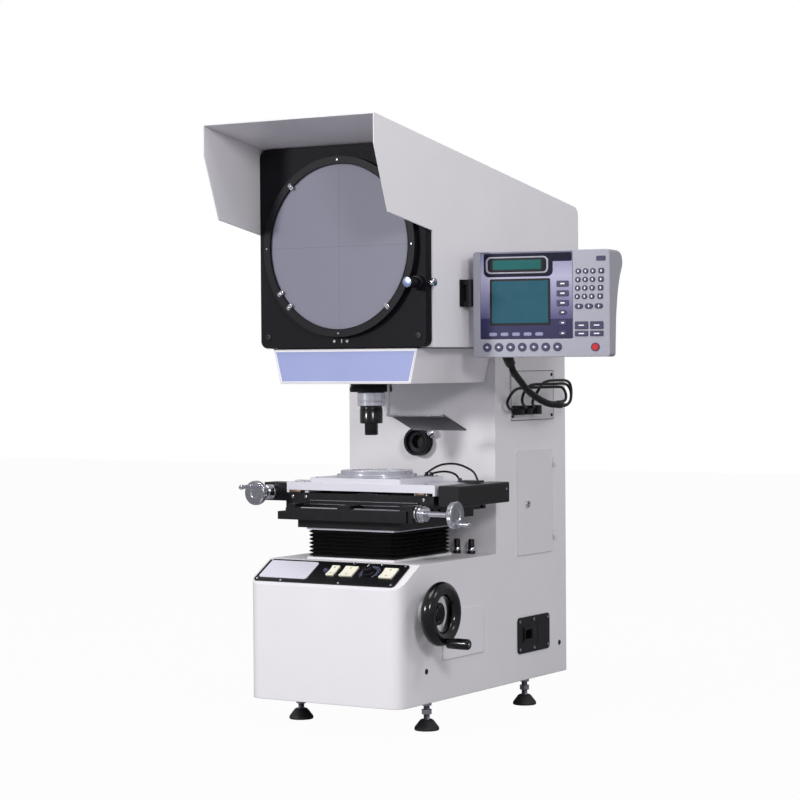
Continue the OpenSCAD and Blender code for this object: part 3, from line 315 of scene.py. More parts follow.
# The photograph's camera, found from the straight edges of cabinet and head: degrees, and a place in mm.
CAMERA_TURN, CAMERA_TILT, CAMERA_ROLL = 32.19, 0.94, -0.40
CAMERA_PLACE = (2369.95, -3493.08, 676.96)
CAMERA_LENS = 104.42


def set_camera():
    """Sets the camera up from its turn, tilt, roll and place."""
    a, e, r = (math.radians(v) for v in (CAMERA_TURN, CAMERA_TILT, CAMERA_ROLL))
    back = Vector((math.sin(a) * math.cos(e), -math.cos(a) * math.cos(e), math.sin(e)))
    level = Vector((math.cos(a), math.sin(a), 0))
    rise = back.cross(level)
    right = level * math.cos(r) + rise * math.sin(r)
    up = rise * math.cos(r) - level * math.sin(r)
    data = bpy.data.cameras.new("camera")
    data.lens, data.sensor_width = CAMERA_LENS, 36
    camera = bpy.data.objects.new("camera", data)
    turn = Matrix((right, up, back)).transposed().to_4x4()
    camera.matrix_world = Matrix.Translation(at(*CAMERA_PLACE)) @ turn
    bpy.context.collection.objects.link(camera)
    bpy.context.scene.camera = camera


def soft_lamp(name, place, aim, size, watts):
    """A round lamp at a place, turned to a point."""
    data = bpy.data.lights.new(name, "AREA")
    data.shape, data.size, data.energy = "DISK", size, watts
    lamp = bpy.data.objects.new(name, data)
    lamp.location = place
    lamp.rotation_euler = (Vector(aim) - Vector(place)).to_track_quat("-Z", "Y").to_euler()
    bpy.context.collection.objects.link(lamp)


def seen_white(tree):
    """1 for rays that show the background itself: from the camera and through glass."""
    path = add(tree, "ShaderNodeLightPath")
    rays = {0: path.outputs["Is Camera Ray"], 1: path.outputs["Is Transmission Ray"]}
    return add(tree, "ShaderNodeMath", rays, operation="MAXIMUM").outputs[0]


def set_studio():
    """White room: a soft world, lamps from the front left, the front right, the right and above."""
    world = bpy.data.worlds.new("studio")
    bpy.context.scene.world = world
    world.use_nodes = True
    tree = world.node_tree
    light = tree.nodes["Background"]
    light.inputs["Color"].default_value = tone("#F8F8FA")
    light.inputs["Strength"].default_value = 0.52
    white = add(tree, "ShaderNodeBackground", Color=(1, 1, 1, 1), Strength=1.0)
    mixed = add(tree, "ShaderNodeMixShader", {0: seen_white(tree), 1: light.outputs[0], 2: white.outputs[0]})
    tree.links.new(mixed.outputs[0], tree.nodes["World Output"].inputs[0])
    soft_lamp("key", (-1.37, -3.34, 1.51), (0, 0, 0.55), 0.5, 60)
    soft_lamp("fill", (2.6, -2.4, 1.75), (0, 0, 0.6), 0.7, 39)
    soft_lamp("right", (3.1, 0.56, 2.5), (0, 0, 0.6), 0.9, 15)
    soft_lamp("top", (0.2, -1.0, 3.2), (0, 0, 0.4), 1.8, 37)


# Share of the floor's white that is its own; the rest takes the shadow.
FLOOR_WHITE = 0.97


def set_floor():
    """Pale matt floor: white to the eye, and it keeps the shadow."""
    mat, tree, shader, _ = finish("matt_studio_floor")
    shader.inputs["Base Color"].default_value = tone("#8E8E93")
    shader.inputs["Roughness"].default_value = 0.9
    glow = add(tree, "ShaderNodeEmission", Color=(1, 1, 1, 1), Strength=1.0)
    path = add(tree, "ShaderNodeLightPath")
    share = add(tree, "ShaderNodeMath", {0: path.outputs["Is Camera Ray"]}, operation="MULTIPLY")
    share.inputs[1].default_value = FLOOR_WHITE
    mixed = add(tree, "ShaderNodeMixShader", {0: share.outputs[0], 1: shader.outputs[0], 2: glow.outputs[0]})
    tree.links.new(mixed.outputs[0], tree.nodes["Material Output"].inputs[0])
    bm = bmesh.new()
    bmesh.ops.create_grid(bm, x_segments=2, y_segments=2, size=9)
    floor = piece("floor", bm, mat, None, smooth=0)


set_camera()
set_studio()
set_floor()

# Finishes.

# Smooth stoved paint on sheet steel: pale lavender grey, a soft sheen, a very faint orange peel.
paint = coloured("stoved_paint_pale_grey", "#DFDCE1", "#E6E3E7", 0.42, grain=2.5, bump=0.05, edge=2.5,
                 coat=0.1)
# The same paint on bent doors and covers, a little darker.
cover_paint = coloured("stoved_paint_covers", "#D9D6DB", "#E0DDE1", 0.45, grain=2.5, bump=0.05)
# Zinc-bright deck plate under a thin lacquer: greyer than the paint, slightly metallic.
deck_metal = coloured("lacquered_deck_plate", "#C9C7D2", "#D3D1DB", 0.3, metallic=0.35, grain=0.6, edge=0.8)
# Fine-textured black paint of the screen frame: near-black navy that stays dark in the light.
frame_paint = coloured("textured_paint_navy_black", "#0F0E14", "#131218", 0.55, grain=0.8, bump=0.25,
                       edge=1.2, specular=0.12)
# Black anodised aluminium: dyed black and satin, with hardly any shine.
ring_black = coloured("black_anodised_aluminium", "#100F15", "#15141A", 0.45, edge=0.8, specular=0.15)
# Cast iron under black enamel: deep gloss black with soft dips.
stage_black = coloured("black_enamel_on_casting", "#0A090D", "#0E0D11", 0.34, grain=3.0, bump=0.1,
                       specular=0.3)
# Black extrusion with a tight satin anodising.
cover_black = coloured("satin_black_anodised", "#08070A", "#0C0B0F", 0.38, grain=0.5, bump=0.08, edge=1.5,
                       specular=0.3)
# Ground steel plated dull nickel: pale, with grinding marks along X.
table_metal = coloured("ground_nickelled_steel", "#D8D7E0", "#E2E1E9", 0.34, metallic=0.3, grain=0.35,
                       bump=0.03, edge=0.7, spread=0.03, stretch=(0.05, 1, 1))
# Turned aluminium: bright, fine rings drawn as a tight grain.
turned_metal = coloured("turned_aluminium", "#D2D2DE", "#E2E2EC", 0.22, metallic=0.8, bump=0.02, edge=0.6,
                        spread=0.03)
# Polished chrome: mirror bright.
chrome = coloured("polished_chrome", "#C9C9D2", "#D6D6DE", 0.12, metallic=1.0, grain=0.6, bump=0.02,
                  edge=0.6, spread=0.05)
# Turned steel of rods and screws: bright grey.
steel = coloured("bright_turned_steel", "#9A9AA2", "#AEAEB6", 0.25, metallic=1.0, grain=0.3, bump=0.06,
                 edge=0.4)
# Moulded phenolic: deep black, polished.
phenolic = coloured("polished_black_phenolic", "#060508", "#09080B", 0.17, grain=5.0, bump=0.02, edge=0.6,
                    specular=0.45)
# Moulded black ABS: satin, faint texture.
abs_black = coloured("moulded_black_abs", "#0B0A0E", "#100F13", 0.42, grain=0.5, edge=0.6, specular=0.3)
# Ivory rocker caps: glossy moulded plastic.
ivory = coloured("moulded_ivory_urea", "#E9E4D2", "#F3EFE0", 0.25, grain=4.0, bump=0.03, edge=0.8)
# Printed film on sheet: satin black with a slight blue cast.
film_black = coloured("printed_polyester_film_black", "#09090C", "#0D0D10", 0.34, grain=1.0, bump=0.06,
                      edge=0.4, specular=0.3)
# Brushed and anodised bare plate: plain pale satin metal.
bare_plate = coloured("brushed_bare_plate", "#DCDAE8", "#E6E4F0", 0.4, metallic=0.25, edge=0.4,
                      stretch=(0.05, 1, 1))
# Screen-printed white ink: flat and matt.
white_line = coloured("white_screen_print", "#ECEBF2", "#F4F3F8", 0.5, grain=1.0, bump=0.02, edge=0.2)
# Coated bellows cloth: black, matt with a sheen on the folds.
bellows_cloth = coloured("coated_bellows_cloth", "#050506", "#08080A", 0.5, grain=0.7, bump=0.3, edge=0.8,
                         specular=0.25)
# Moulded rubber of the feet: matt dark grey.
rubber = coloured("moulded_black_rubber", "#17171A", "#1E1E22", 0.62, grain=0.6, bump=0.3)
# Extruded PVC sheath: black with a soft sheen.
sheath = coloured("black_pvc_sheath", "#070709", "#0B0B0D", 0.42, grain=0.8, bump=0.08, edge=0.2,
                  specular=0.3)
# Silver-painted ABS of the console: grey with a soft metallic sheen.
console_silver = coloured("silver_painted_abs", "#9B9BA7", "#A5A5B1", 0.36, metallic=0.3, grain=0.5,
                          bump=0.08, edge=3.0)
# Film printed navy on its back, round the small display: deep and even.
console_navy = coloured("navy_printed_film", "#0F0E24", "#13112C", 0.3, grain=1.0, bump=0.03, edge=0.4,
                        specular=0.2)
# Film printed periwinkle on the front of the head: flat satin blue.
head_film = coloured("periwinkle_printed_film", "#8F98C8", "#9AA3D0", 0.4, grain=1.5, bump=0.03, edge=0.4)
# Moulded silicone keys: dark grey blue, matt.
key_grey = coloured("moulded_silicone_keys", "#33314F", "#3D3B5C", 0.42, grain=0.5, bump=0.08, edge=0.6)
# Paler silicone of the soft keys and scale lines: matt lilac grey.
key_light = coloured("moulded_key_legend_faces", "#8384A6", "#8F90B0", 0.45, grain=0.5, bump=0.08, edge=0.6)
# The red key: moulded plastic, a little glossy.
key_red = coloured("moulded_red_key", "#B3202C", "#C42C36", 0.3, grain=1.5, bump=0.03, edge=0.6)
# Lit displays behind clear windows: even teal and green.
lcd_teal = coloured("lcd_teal", "#1A4E5E", "#1F5666", 0.18, grain=3.0, bump=0.0, edge=0.2)
lcd_green = coloured("lcd_green", "#0F5656", "#145F5E", 0.18, grain=3.0, bump=0.0, edge=0.2)
# Cast brass of the stop blocks, dulled brown.
brass = coloured("dull_brass", "#6B5A4E", "#7C6A5C", 0.4, metallic=0.8, edge=0.4)
# Front-silvered mirror glass seen from the side of its lacquer.
silvering = coloured("silvered_glass", "#4A4B52", "#55565D", 0.1, metallic=1.0, grain=4.0, bump=0.0,
                     edge=0.3)
# Blued steel cap of the ring knob: a cool bright metal.
blue_steel = coloured("blued_turned_cap", "#7F8FB4", "#9AA8C8", 0.25, metallic=0.8, edge=0.5)
# Polished lens glass and float glass: clear, with a faint tint.
optical_glass = clear("polished_optical_glass", "#C9D6E2", 0.03)
stage_glass = clear("plate_glass", "#DCE8EA", 0.03)


def faded_film(low, high):
    """Console film between two heights in metres: lilac that deepens downwards, navy under the seam."""
    mat, tree, shader, where = finish("faded_navy_film")
    part = add(tree, "ShaderNodeSeparateXYZ", {"Vector": where})
    level = add(tree, "ShaderNodeMapRange", {"Value": part.outputs["Z"]}, From_Min=low, From_Max=high)
    ramp = add(tree, "ShaderNodeValToRGB", {"Fac": level.outputs["Result"]})
    stops = ramp.color_ramp.elements
    stops[0].position, stops[0].color = 0.0, tone("#1C1944")
    stops[1].position, stops[1].color = 1.0, tone("#7F7DA0")
    for place, code in ((0.235, "#201D4C"), (0.245, "#4B4872"), (0.5, "#8583A4"), (0.72, "#A9A7C0")):
        stop = stops.new(place)
        stop.color = tone(code)
    tree.links.new(ramp.outputs["Color"], shader.inputs["Base Color"])
    fine = add(tree, "ShaderNodeTexNoise", {"Vector": where}, Scale=1 / (0.8 * MM), Detail=2.0)
    gloss = add(tree, "ShaderNodeMapRange", {"Value": fine.outputs["Fac"]}, To_Min=0.28, To_Max=0.36)
    tree.links.new(gloss.outputs["Result"], shader.inputs["Roughness"])
    return mat


def ground_glass():
    """Finely ground screen: an even grey that scatters, with two thin cross lines through its centre."""
    mat, tree, shader, where = finish("ground_screen_glass")
    centre = [sum(span("screen_glass", i)) / 2 for i in range(3)]
    part = add(tree, "ShaderNodeSeparateXYZ", {"Vector": where})
    half_line, lines = 0.45 * MM, []
    for axis, middle in (("X", centre[0]), ("Z", centre[2])):
        off = add(tree, "ShaderNodeMath", {0: part.outputs[axis]}, operation="SUBTRACT")
        off.inputs[1].default_value = middle
        size = add(tree, "ShaderNodeMath", {0: off.outputs[0]}, operation="ABSOLUTE")
        near = add(tree, "ShaderNodeMath", {0: size.outputs[0]}, operation="LESS_THAN")
        near.inputs[1].default_value = half_line
        lines.append(near.outputs[0])
    cross = add(tree, "ShaderNodeMath", {0: lines[0], 1: lines[1]}, operation="MAXIMUM")
    drift = add(tree, "ShaderNodeTexNoise", {"Vector": where}, Scale=4.0, Detail=2.0)
    base = add(tree, "ShaderNodeMix", {"Factor": drift.outputs["Fac"]}, data_type="RGBA")
    base.inputs[MIX_A].default_value = tone("#767686")
    base.inputs[MIX_B].default_value = tone("#808090")
    drawn = add(tree, "ShaderNodeMix", {"Factor": cross.outputs[0]}, data_type="RGBA")
    tree.links.new(base.outputs[MIX_OUT], drawn.inputs[MIX_A])
    drawn.inputs[MIX_B].default_value = tone("#6E6E7D")
    tree.links.new(drawn.outputs[MIX_OUT], shader.inputs["Base Color"])
    grit = add(tree, "ShaderNodeTexNoise", {"Vector": where}, Scale=1 / (0.5 * MM), Detail=1.0)
    height = add(tree, "ShaderNodeBump", {"Height": grit.outputs["Fac"]}, Strength=0.1, Distance=0.0001)
    tree.links.new(height.outputs["Normal"], shader.inputs["Normal"])
    shader.inputs["Roughness"].default_value = 0.42
    shader.inputs["Specular IOR Level"].default_value = 0.25
    return mat


ground = ground_glass()
looks = {
    paint: ["base_cabinet", "upper_housing", "lower_head", "access_cover"],
    deck_metal: ["lift_flange"],
    frame_paint: ["screen_panel"],
    film_black: ["control_panel"],
    ivory: ["rocker_narrow", "rocker_mid", "rocker_right"],
    abs_black: ["brightness_knob", "plugs", "inlet_plate", "scale_reader", "console_bracket", "console_arm"],
    phenolic: ["handwheel", "handwheel_handle"],
    rubber: ["foot_fl", "foot_fr", "foot_rl", "foot_rr"],
    chrome: ["door_lock", "ring_lock", "x_crank", "y_crank"],
    steel: ["lift_screw", "lift_guides", "handwheel_shaft", "reflector_arm"],
    ring_black: ["screen_ring", "ring_knob", "lens_mount", "objective", "surface_lamp", "lamp_unit",
                 "condenser"],
    ground: ["screen_glass"],
    cover_paint: ["column_door", "connector_plate"],
    silvering: ["mirror_small", "mirror_large", "reflector_mirror"],
    bellows_cloth: ["bellows"],
    stage_black: ["stage_base", "saddle", "y_bracket", "lift_gearbox"],
    table_metal: ["table", "rotary_plate"],
    turned_metal: ["rotary_ring"],
    cover_black: ["scale_cover"],
    stage_glass: ["stage_glass"],
    console_silver: ["console_case"],
    lcd_teal: ["console_display"],
    key_grey: ["console_keys"],
    key_red: ["console_power_key"],
    sheath: ["console_conduit", "console_leads", "stage_leads"],
}
for material, names in looks.items():
    for name in names:
        nodes[name].data.materials.clear()
        nodes[name].data.materials.append(material)

bpy.context.scene.view_settings.view_transform = "Standard"

# Places on the machine, mm from its zero.
SIDE = span("access_cover", 0)[0] / MM - zero.x / MM  # outer face of cabinet and column
FRAME_FRONT = span("screen_panel", 1)[0] / MM - zero.y / MM
SCREEN_Z = sum(span("screen_glass", 2)) / 2 / MM
RING_FRONT = span("screen_ring", 1)[0] / MM - zero.y / MM
LENS_Y = sum(span("lens_mount", 1)) / 2 / MM - zero.y / MM
PANEL_RISE, PANEL_RUN = 41, 72  # of the cabinet's sloped front
PANEL_LEAN = math.atan2(PANEL_RISE, PANEL_RUN)
PANEL_FOOT = 268  # top of the cabinet's front wall
CONSOLE_CORNER, CONSOLE_TURN = (207, 199, 684), math.radians(10)
CONSOLE_MARGIN, CONSOLE_WIDER = 5, 253 / 243  # left margin and stretch of the face layout

side = facing((SIDE, 0, 0), RIGHT, BACK)  # x runs back, y up
frame_face = facing((0, FRAME_FRONT, 0), FRONT)  # x runs right, y up
slope_way = (0, -math.sin(PANEL_LEAN), math.cos(PANEL_LEAN))
slope = facing((0, 0, PANEL_FOOT), slope_way)  # x runs right, y up the slope
console = Matrix.Translation(CONSOLE_CORNER) @ Matrix.Rotation(CONSOLE_TURN, 4, "Z")
wider = Matrix.Diagonal((CONSOLE_WIDER, 1, 1, 1))
console_face = console @ facing((CONSOLE_MARGIN, 0, 0), FRONT) @ wider


def screw_head(bm, place, x, y, r, high=1.6, z0=0.0):
    """Cheese-head screw with a hexagon socket."""
    spot = place @ Matrix.Translation((x, y, z0))
    lathe(bm, [(0, high * 0.35), (r * 0.45, high * 0.35), (r * 0.5, high), (r * 0.86, high),
               (r, high * 0.75), (r, 0)], spot, 24)


def screw_set(name, place, spots, r, material, body, high=1.6, z0=0.0):
    """One piece of equal screw heads at spots on a place."""
    bm = bmesh.new()
    for x, y in spots:
        screw_head(bm, place, x, y, r, high, z0)
    piece(name, bm, material, body)


# Routes repeat the solids' points, in mm: out of the console's gland, back in a long loop, to the splitter.
GLAND = Vector((58, 24, 0))
GLAND_WAY = Vector((0, math.cos(math.radians(40)), -math.sin(math.radians(40))))
conduit_route = [at(*(console @ (GLAND + GLAND_WAY * out))) for out in (18.5, 30, 42)] + [at(*p) for p in (
    (248, 300, 640), (242, 343, 620), (234, 406, 602), (226, 462, 593), (220, 513, 592))]
PLATE, PLUG_Z, PLUG_OUT = 2.5, 582, 18
PLUG_X, LEAD_Z = SIDE + PLATE + PLUG_OUT / 2, PLUG_Z + 2
PLUG_Y = [405 + part * 171 for part in (0.07, 0.26, 0.48)]
lead_routes = {
    "lead_a": [(220, 508, 596), (219, 520, 598), (217, 534, 599), (215, 543, 604), (213, 546, 612),
               (211, 543, 620), (210, 534, 625), (209, 518, 626), (208, 500, 626), (206, 450, 626),
               (204, 400, 626), (202, 366, 623), (198, 349, 610), (190, 353, 597), (181, 376, 587),
               (PLUG_X, PLUG_Y[0] - 25, LEAD_Z), (PLUG_X, PLUG_Y[0] - 13, LEAD_Z)],
    "lead_b": [(223, 508, 590), (221, 538, 592), (217, 558, 600), (215, 564, 613), (214, 558, 625),
               (213, 540, 632), (213, 500, 632), (213, 465, 632), (213, 420, 632), (212, 397, 628),
               (209, 383, 615), (204, 386, 601), (198, 404, 592), (192, 424, 588), (185, 432, 586),
               (PLUG_X, PLUG_Y[1] - 12, LEAD_Z)],
    "lead_c": [(216, 508, 590), (215, 540, 589), (212, 566, 597), (211, 573, 614), (212, 566, 631),
               (214, 545, 638), (217, 515, 639), (219, 485, 639), (220, 460, 638), (220, 438, 633),
               (217, 426, 620), (209, 424, 606), (199, 436, 596), (191, 456, 590), (184, 466, 586),
               (PLUG_X, PLUG_Y[2] - 12, LEAD_Z)]}
PLATE_TOP, TABLE_TOP, READER_Y = span("rotary_plate", 2)[1] / MM, span("table", 2)[1] / MM, 227
stage_routes = {
    "stage_lead_a": [(66, 260, PLATE_TOP - 1), (72, 258, PLATE_TOP + 8), (108, 246, PLATE_TOP + 22),
                     (150, 234, PLATE_TOP + 24), (186, 228, PLATE_TOP + 12), (198, READER_Y, TABLE_TOP + 3)],
    "stage_lead_b": [(76, 260, PLATE_TOP - 1), (82, 259, PLATE_TOP + 5), (112, 252, PLATE_TOP + 9),
                     (140, 244, PLATE_TOP + 4), (152, 240, TABLE_TOP - 1)]}
CONDUIT, LEAD, STAGE_LEAD = 13 * MM, 5.5 * MM, 4 * MM


def lay_cable(name, line, diameter, material, body, ripple=0.0, sides=14):
    """A cable along points in metres."""
    bm = bmesh.new()
    hose(bm, line, diameter / 2, sides, ripple)
    made = piece(name, bm, material, body, smooth=60)
    return made


conduit_line = even(smooth_route(conduit_route, 12), 2.2 * MM)
conduit = lay_cable("conduit", conduit_line, CONDUIT, sheath, None, ripple=0.9 * MM, sides=18)
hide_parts("console_conduit")
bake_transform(conduit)
leads = [lay_cable(name, even(smooth_route([at(*p) for p in route], 8), 4 * MM), LEAD, sheath, "frame")
         for name, route in lead_routes.items()]
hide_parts("console_leads")
stage_leads = [lay_cable(name, even(smooth_route([at(*p) for p in route], 8), 3 * MM), STAGE_LEAD, sheath,
                         "table") for name, route in stage_routes.items()]
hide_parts("stage_leads")

# Gland under the console, sleeve where the leads leave the conduit, and the glands of the stage leads.
SLEEVE, SLEEVE_WAY = (220, 508, 592), (-0.12, 1, -0.02)
turned("conduit_gland", [(0, -11), (9.8, -11), (9.8, 13), (9.3, 14), (9.3, 18.7), (7.6, 21), (0, 21)],
       console @ facing(GLAND, GLAND_WAY), sheath, "console", 32)
turned("conduit_sleeve", [(0, -16), (6.7, -16), (7.6, -12), (8, 0), (7.8, 4), (7, 7), (0, 7)],
       facing(SLEEVE, SLEEVE_WAY), sheath, "frame", 24)
bm = bmesh.new()
for x, y, top in ((66, 260, PLATE_TOP), (76, 260, PLATE_TOP), (152, 240, TABLE_TOP)):
    lathe(bm, [(0, 7), (2.6, 7), (3.2, 5), (3.4, 2), (5, 2), (5, 0), (0, 0)], facing((x, y, top), UP), 24)
piece("lead_glands", bm, abs_black, "table")

# Console face, mm from its lower left corner: film and displays in the recess, keys on the silver.
FILM_LOW, FILM_HIGH = 33.5, 190.5
SMALL_LCD, LARGE_LCD = (76.7, 169), (82.3, 101)
film = faded_film((CONSOLE_CORNER[2] + FILM_LOW) * MM, (CONSOLE_CORNER[2] + FILM_HIGH) * MM)
flat("console_film", [round_box(93.5, (FILM_LOW + FILM_HIGH) / 2, 170, FILM_HIGH - FILM_LOW, 2.5)], 0.9,
     console_face, -1.45, film, "console")
bm = bmesh.new()
plate(bm, round_box(79, 168.5, 128, 43, 10), 0.12, console_face, -0.57)
plate(bm, round_box(96.5, 182, 163, 16, 2.5), 0.1, console_face, -0.57)
piece("console_navy_surround", bm, console_navy, "console")
# Silver loop round the small display.
edging("console_loop", round_box(77, 168.5, 116, 31, 9), round_box(77, 168.5, 109, 25.5, 6.5), 0.9,
       console_face, -0.6, console_silver, "console")
flat("console_windows", [round_box(*SMALL_LCD, 98, 24, 3), round_box(*LARGE_LCD, 112, 85, 3)], 0.5,
     console_face, -0.55, abs_black, "console")
flat("console_small_display", [round_box(*SMALL_LCD, 89, 17, 1.5)], 0.5, console_face, -0.1, lcd_green,
     "console")
flat("console_large_display", [round_box(*LARGE_LCD, 104, 77, 1.5)], 0.5, console_face, -0.1, lcd_teal,
     "console", replaces="console_display")


def key_cap(bm, x, y, w, h, r, high=1.5, z0=0.0):
    """A moulded key: rounded outline with a softly domed top."""
    for grow, low, top in ((0, 0, 0.6), (-0.7, 0.6, 1.0)):
        plate(bm, round_box(x, y, w + 2 * grow, h + 2 * grow, max(r + grow, 0.3)), high * (top - low),
              console_face, z0 + high * low)


round_row = [(21 + 21.7 * k, 18.5, 16, 16, 7.9) for k in range(7)]
number_pad = [(189.9 + 13.2 * i - 0.75 * j, 155 - 15.3 * j, 10, 10, 4.9) for i in range(3) for j in range(4)]
number_pad += [(231.6 - 0.75 * j, 155 - 15.3 * j, 10, 10, 2.5) for j in range(4)]
number_pad += [(190.8 + 18 * i, 91.5, 15, 9.5, 4.6) for i in range(3)]
big_keys = [(195.2 + 27.7 * i, y, 24, h, 1.2) for i in range(2) for y, h in ((57, 14), (42, 10))]
bm = bmesh.new()
for key in round_row + number_pad + big_keys:
    key_cap(bm, *key)
piece("console_key_caps", bm, key_grey, "console", replaces="console_keys")
# Keys on the film sit lower, in the recess.
SIDE_KEY_X, RECESS, KEY_TOP, MARK = 161, -0.6, 1.5, 0.1
wide_y = [133 - 17.5 * j for j in range(3)]
small_y = [81 - 19 * j for j in range(3)]
bm = bmesh.new()
for y in wide_y:
    key_cap(bm, SIDE_KEY_X, y, 22, 11, 2, 1.5, RECESS)
for y in small_y:
    key_cap(bm, SIDE_KEY_X, y, 15, 9, 4.4, 1.3, RECESS)
piece("console_side_keys", bm, key_grey, "console")
bm = bmesh.new()
for i in range(5):
    key_cap(bm, 32 + 21.4 * i, 42, 15, 6.5, 3.1, 0.9, RECESS)
piece("console_soft_keys", bm, key_light, "console")
# Pale plain marks on the keys.
bm = bmesh.new()
for x, y, *_ in round_row:
    plate(bm, round_box(x, y, 6, 1.4, 0.6), MARK, console_face, KEY_TOP)
    plate(bm, round_box(x, y, 1.4, 5, 0.6), MARK, console_face, KEY_TOP)
for x, y, *_ in number_pad:
    plate(bm, round_box(x, y, 2.2, 4.2, 0.8), MARK, console_face, KEY_TOP)
for x, y, *_ in big_keys:
    plate(bm, round_box(x, y, 10, 2, 0.8), MARK, console_face, KEY_TOP)
for wide, small in zip(wide_y, small_y):
    plate(bm, round_box(SIDE_KEY_X, wide, 8, 2.4, 0.8), MARK, console_face, 0.9)
    plate(bm, round_box(SIDE_KEY_X, small, 5, 2.4, 0.8), MARK, console_face, 0.7)
piece("console_key_marks", bm, white_line, "console")
# Thin seam line among the side keys, the bare badge and the red key's collar.
flat("console_film_seams", [round_box(157, 70.5, 42, 0.6, 0.25)], 0.3, console_face, -0.55, key_light,
     "console")
flat("console_bare_badge", [round_box(231, 177.5, 17, 9, 1.5)], 0.4, console_face, 0, key_grey, "console")
RED_KEY = (220.2, 17.5)
edging("power_key_collar", round_box(*RED_KEY, 15.6, 15.6, 7.7), round_box(*RED_KEY, 13.6, 13.6, 6.7), 0.8,
       console_face, 0, key_grey, "console")

# Control panel: x from the middle plane, y up the slope.
PANEL = 2.5  # thickness of the panel
SWITCH = math.hypot(PANEL_RUN, PANEL_RISE) * 0.58  # row of switches and knob, up the slope
KNOB_X, LINE_WIDTH, INK = 77, 0.7, 0.2  # brightness knob, and its printed scale
flat("panel_blank_plate", [round_box(-98.5, 45, 107, 54, 6)], 1.2, slope, PANEL, bare_plate, "frame")
bm = bmesh.new()
for r, start, stop in ((15.5, -45, 225), (18, -45, 225), (21, 20, 160)):
    steps = 40
    ring = [math.radians(start + (stop - start) * k / steps) for k in range(steps + 1)]
    within = r - LINE_WIDTH
    outer = [(KNOB_X + r * math.cos(a), SWITCH + r * math.sin(a)) for a in ring]
    inner = [(KNOB_X + within * math.cos(a), SWITCH + within * math.sin(a)) for a in reversed(ring)]
    plate(bm, outer + inner, INK, slope, PANEL)
for k in range(11):
    a = math.radians(-45 + 27 * k)
    spot = slope @ Matrix.Translation((KNOB_X, SWITCH, 0)) @ Matrix.Rotation(a, 4, "Z")
    plate(bm, [(18.5, -0.4), (20.5, -0.4), (20.5, 0.4), (18.5, 0.4)], INK, spot, PANEL)
piece("brightness_scale", bm, key_light, "frame")
turned("pilot_lens", [(0, 5.2), (2.5, 4.8), (4, 3.4), (4.4, 2), (5.4, 2), (5.6, 0), (0, 0)],
       slope @ Matrix.Translation((-17.8, SWITCH, PANEL)), key_grey, "frame", 28)
screw_set("panel_screws", slope, [(-152, 14), (-98, 11.6), (30, 11.6), (142, 14), (142, 73), (30, 75),
                                  (90, 75), (-152, 73)], 2.6, chrome, "frame", 1.4, PANEL)


def turned_knob(bm, place, r_skirt, r_grip, skirt, high, ribs=24):
    """A knob with a skirt, a ribbed grip and a flat cap."""
    lathe(bm, [(0, 0), (r_skirt, 0), (r_skirt, skirt * 0.6), (r_skirt - 1, skirt), (0, skirt)], place, 40)
    points = []
    for k in range(ribs * 2):
        a = math.pi * k / ribs
        r = r_grip - (0.5 if k % 2 else 0)
        points.append((r * math.cos(a), r * math.sin(a)))
    plate(bm, points, high - skirt - 1, place, skirt)
    lathe(bm, [(r_grip - 0.6, high - 1), (r_grip - 1.6, high), (0, high)], place, 40)


bm = bmesh.new()
KNOB_SEAT, KNOB_HIGH = 2.9, 13
turned_knob(bm, slope @ Matrix.Translation((KNOB_X, SWITCH, KNOB_SEAT)), 12, 9.5, 4, KNOB_HIGH)
piece("brightness_knob_ribbed", bm, abs_black, "brightness_knob",
      replaces="brightness_knob")
pointer = [(KNOB_X - 0.6, SWITCH + 1), (KNOB_X + 0.6, SWITCH + 1), (KNOB_X + 0.6, SWITCH + 8),
           (KNOB_X - 0.6, SWITCH + 8)]
flat("brightness_pointer", [pointer], INK, slope, KNOB_SEAT + KNOB_HIGH, white_line, "brightness_knob")


def rocker_cap(name, node, x, w):
    """Ivory rocker: two shallow slopes meeting at the pivot, rounded edges, a plain dot near each end."""
    bm = bmesh.new()
    half = 15
    line = [(-half + 1, -3), (-half, 3.6), (-half + 0.8, 4.5), (0, 3.0), (half - 0.8, 4.5), (half, 3.6),
            (half - 1, -3)]
    on_edge = Matrix(((0, 0, 1, 0), (1, 0, 0, 0), (0, 1, 0, 0), (0, 0, 0, 1)))
    spot = slope @ Matrix.Translation((x - w / 2, SWITCH, 1)) @ on_edge
    plate(bm, line, w, spot)
    piece(name, bm, ivory, node, replaces=node)
    bm = bmesh.new()
    lift = 1 + 3 + 1.5 * 9 / 14.2  # height of the slopes at the dots
    for y, lean in ((-9, 1), (9, -1)):
        seat = slope @ Matrix.Translation((x, SWITCH + y, lift))
        tilt = seat @ Matrix.Rotation(-lean * 0.105, 4, "X")
        band(bm, round_box(0, 0, 4, 4, 1.9), round_box(0, 0, 2.6, 2.6, 1.2), 0.15, tilt, 0.0)
    piece(name + "_marks", bm, key_grey, node)


for tag, x, wide in (("narrow", -2, 16), ("mid", 33, 28), ("right", 119, 28)):
    rocker_cap("rocker_cap_" + tag, "rocker_" + tag, x, wide)


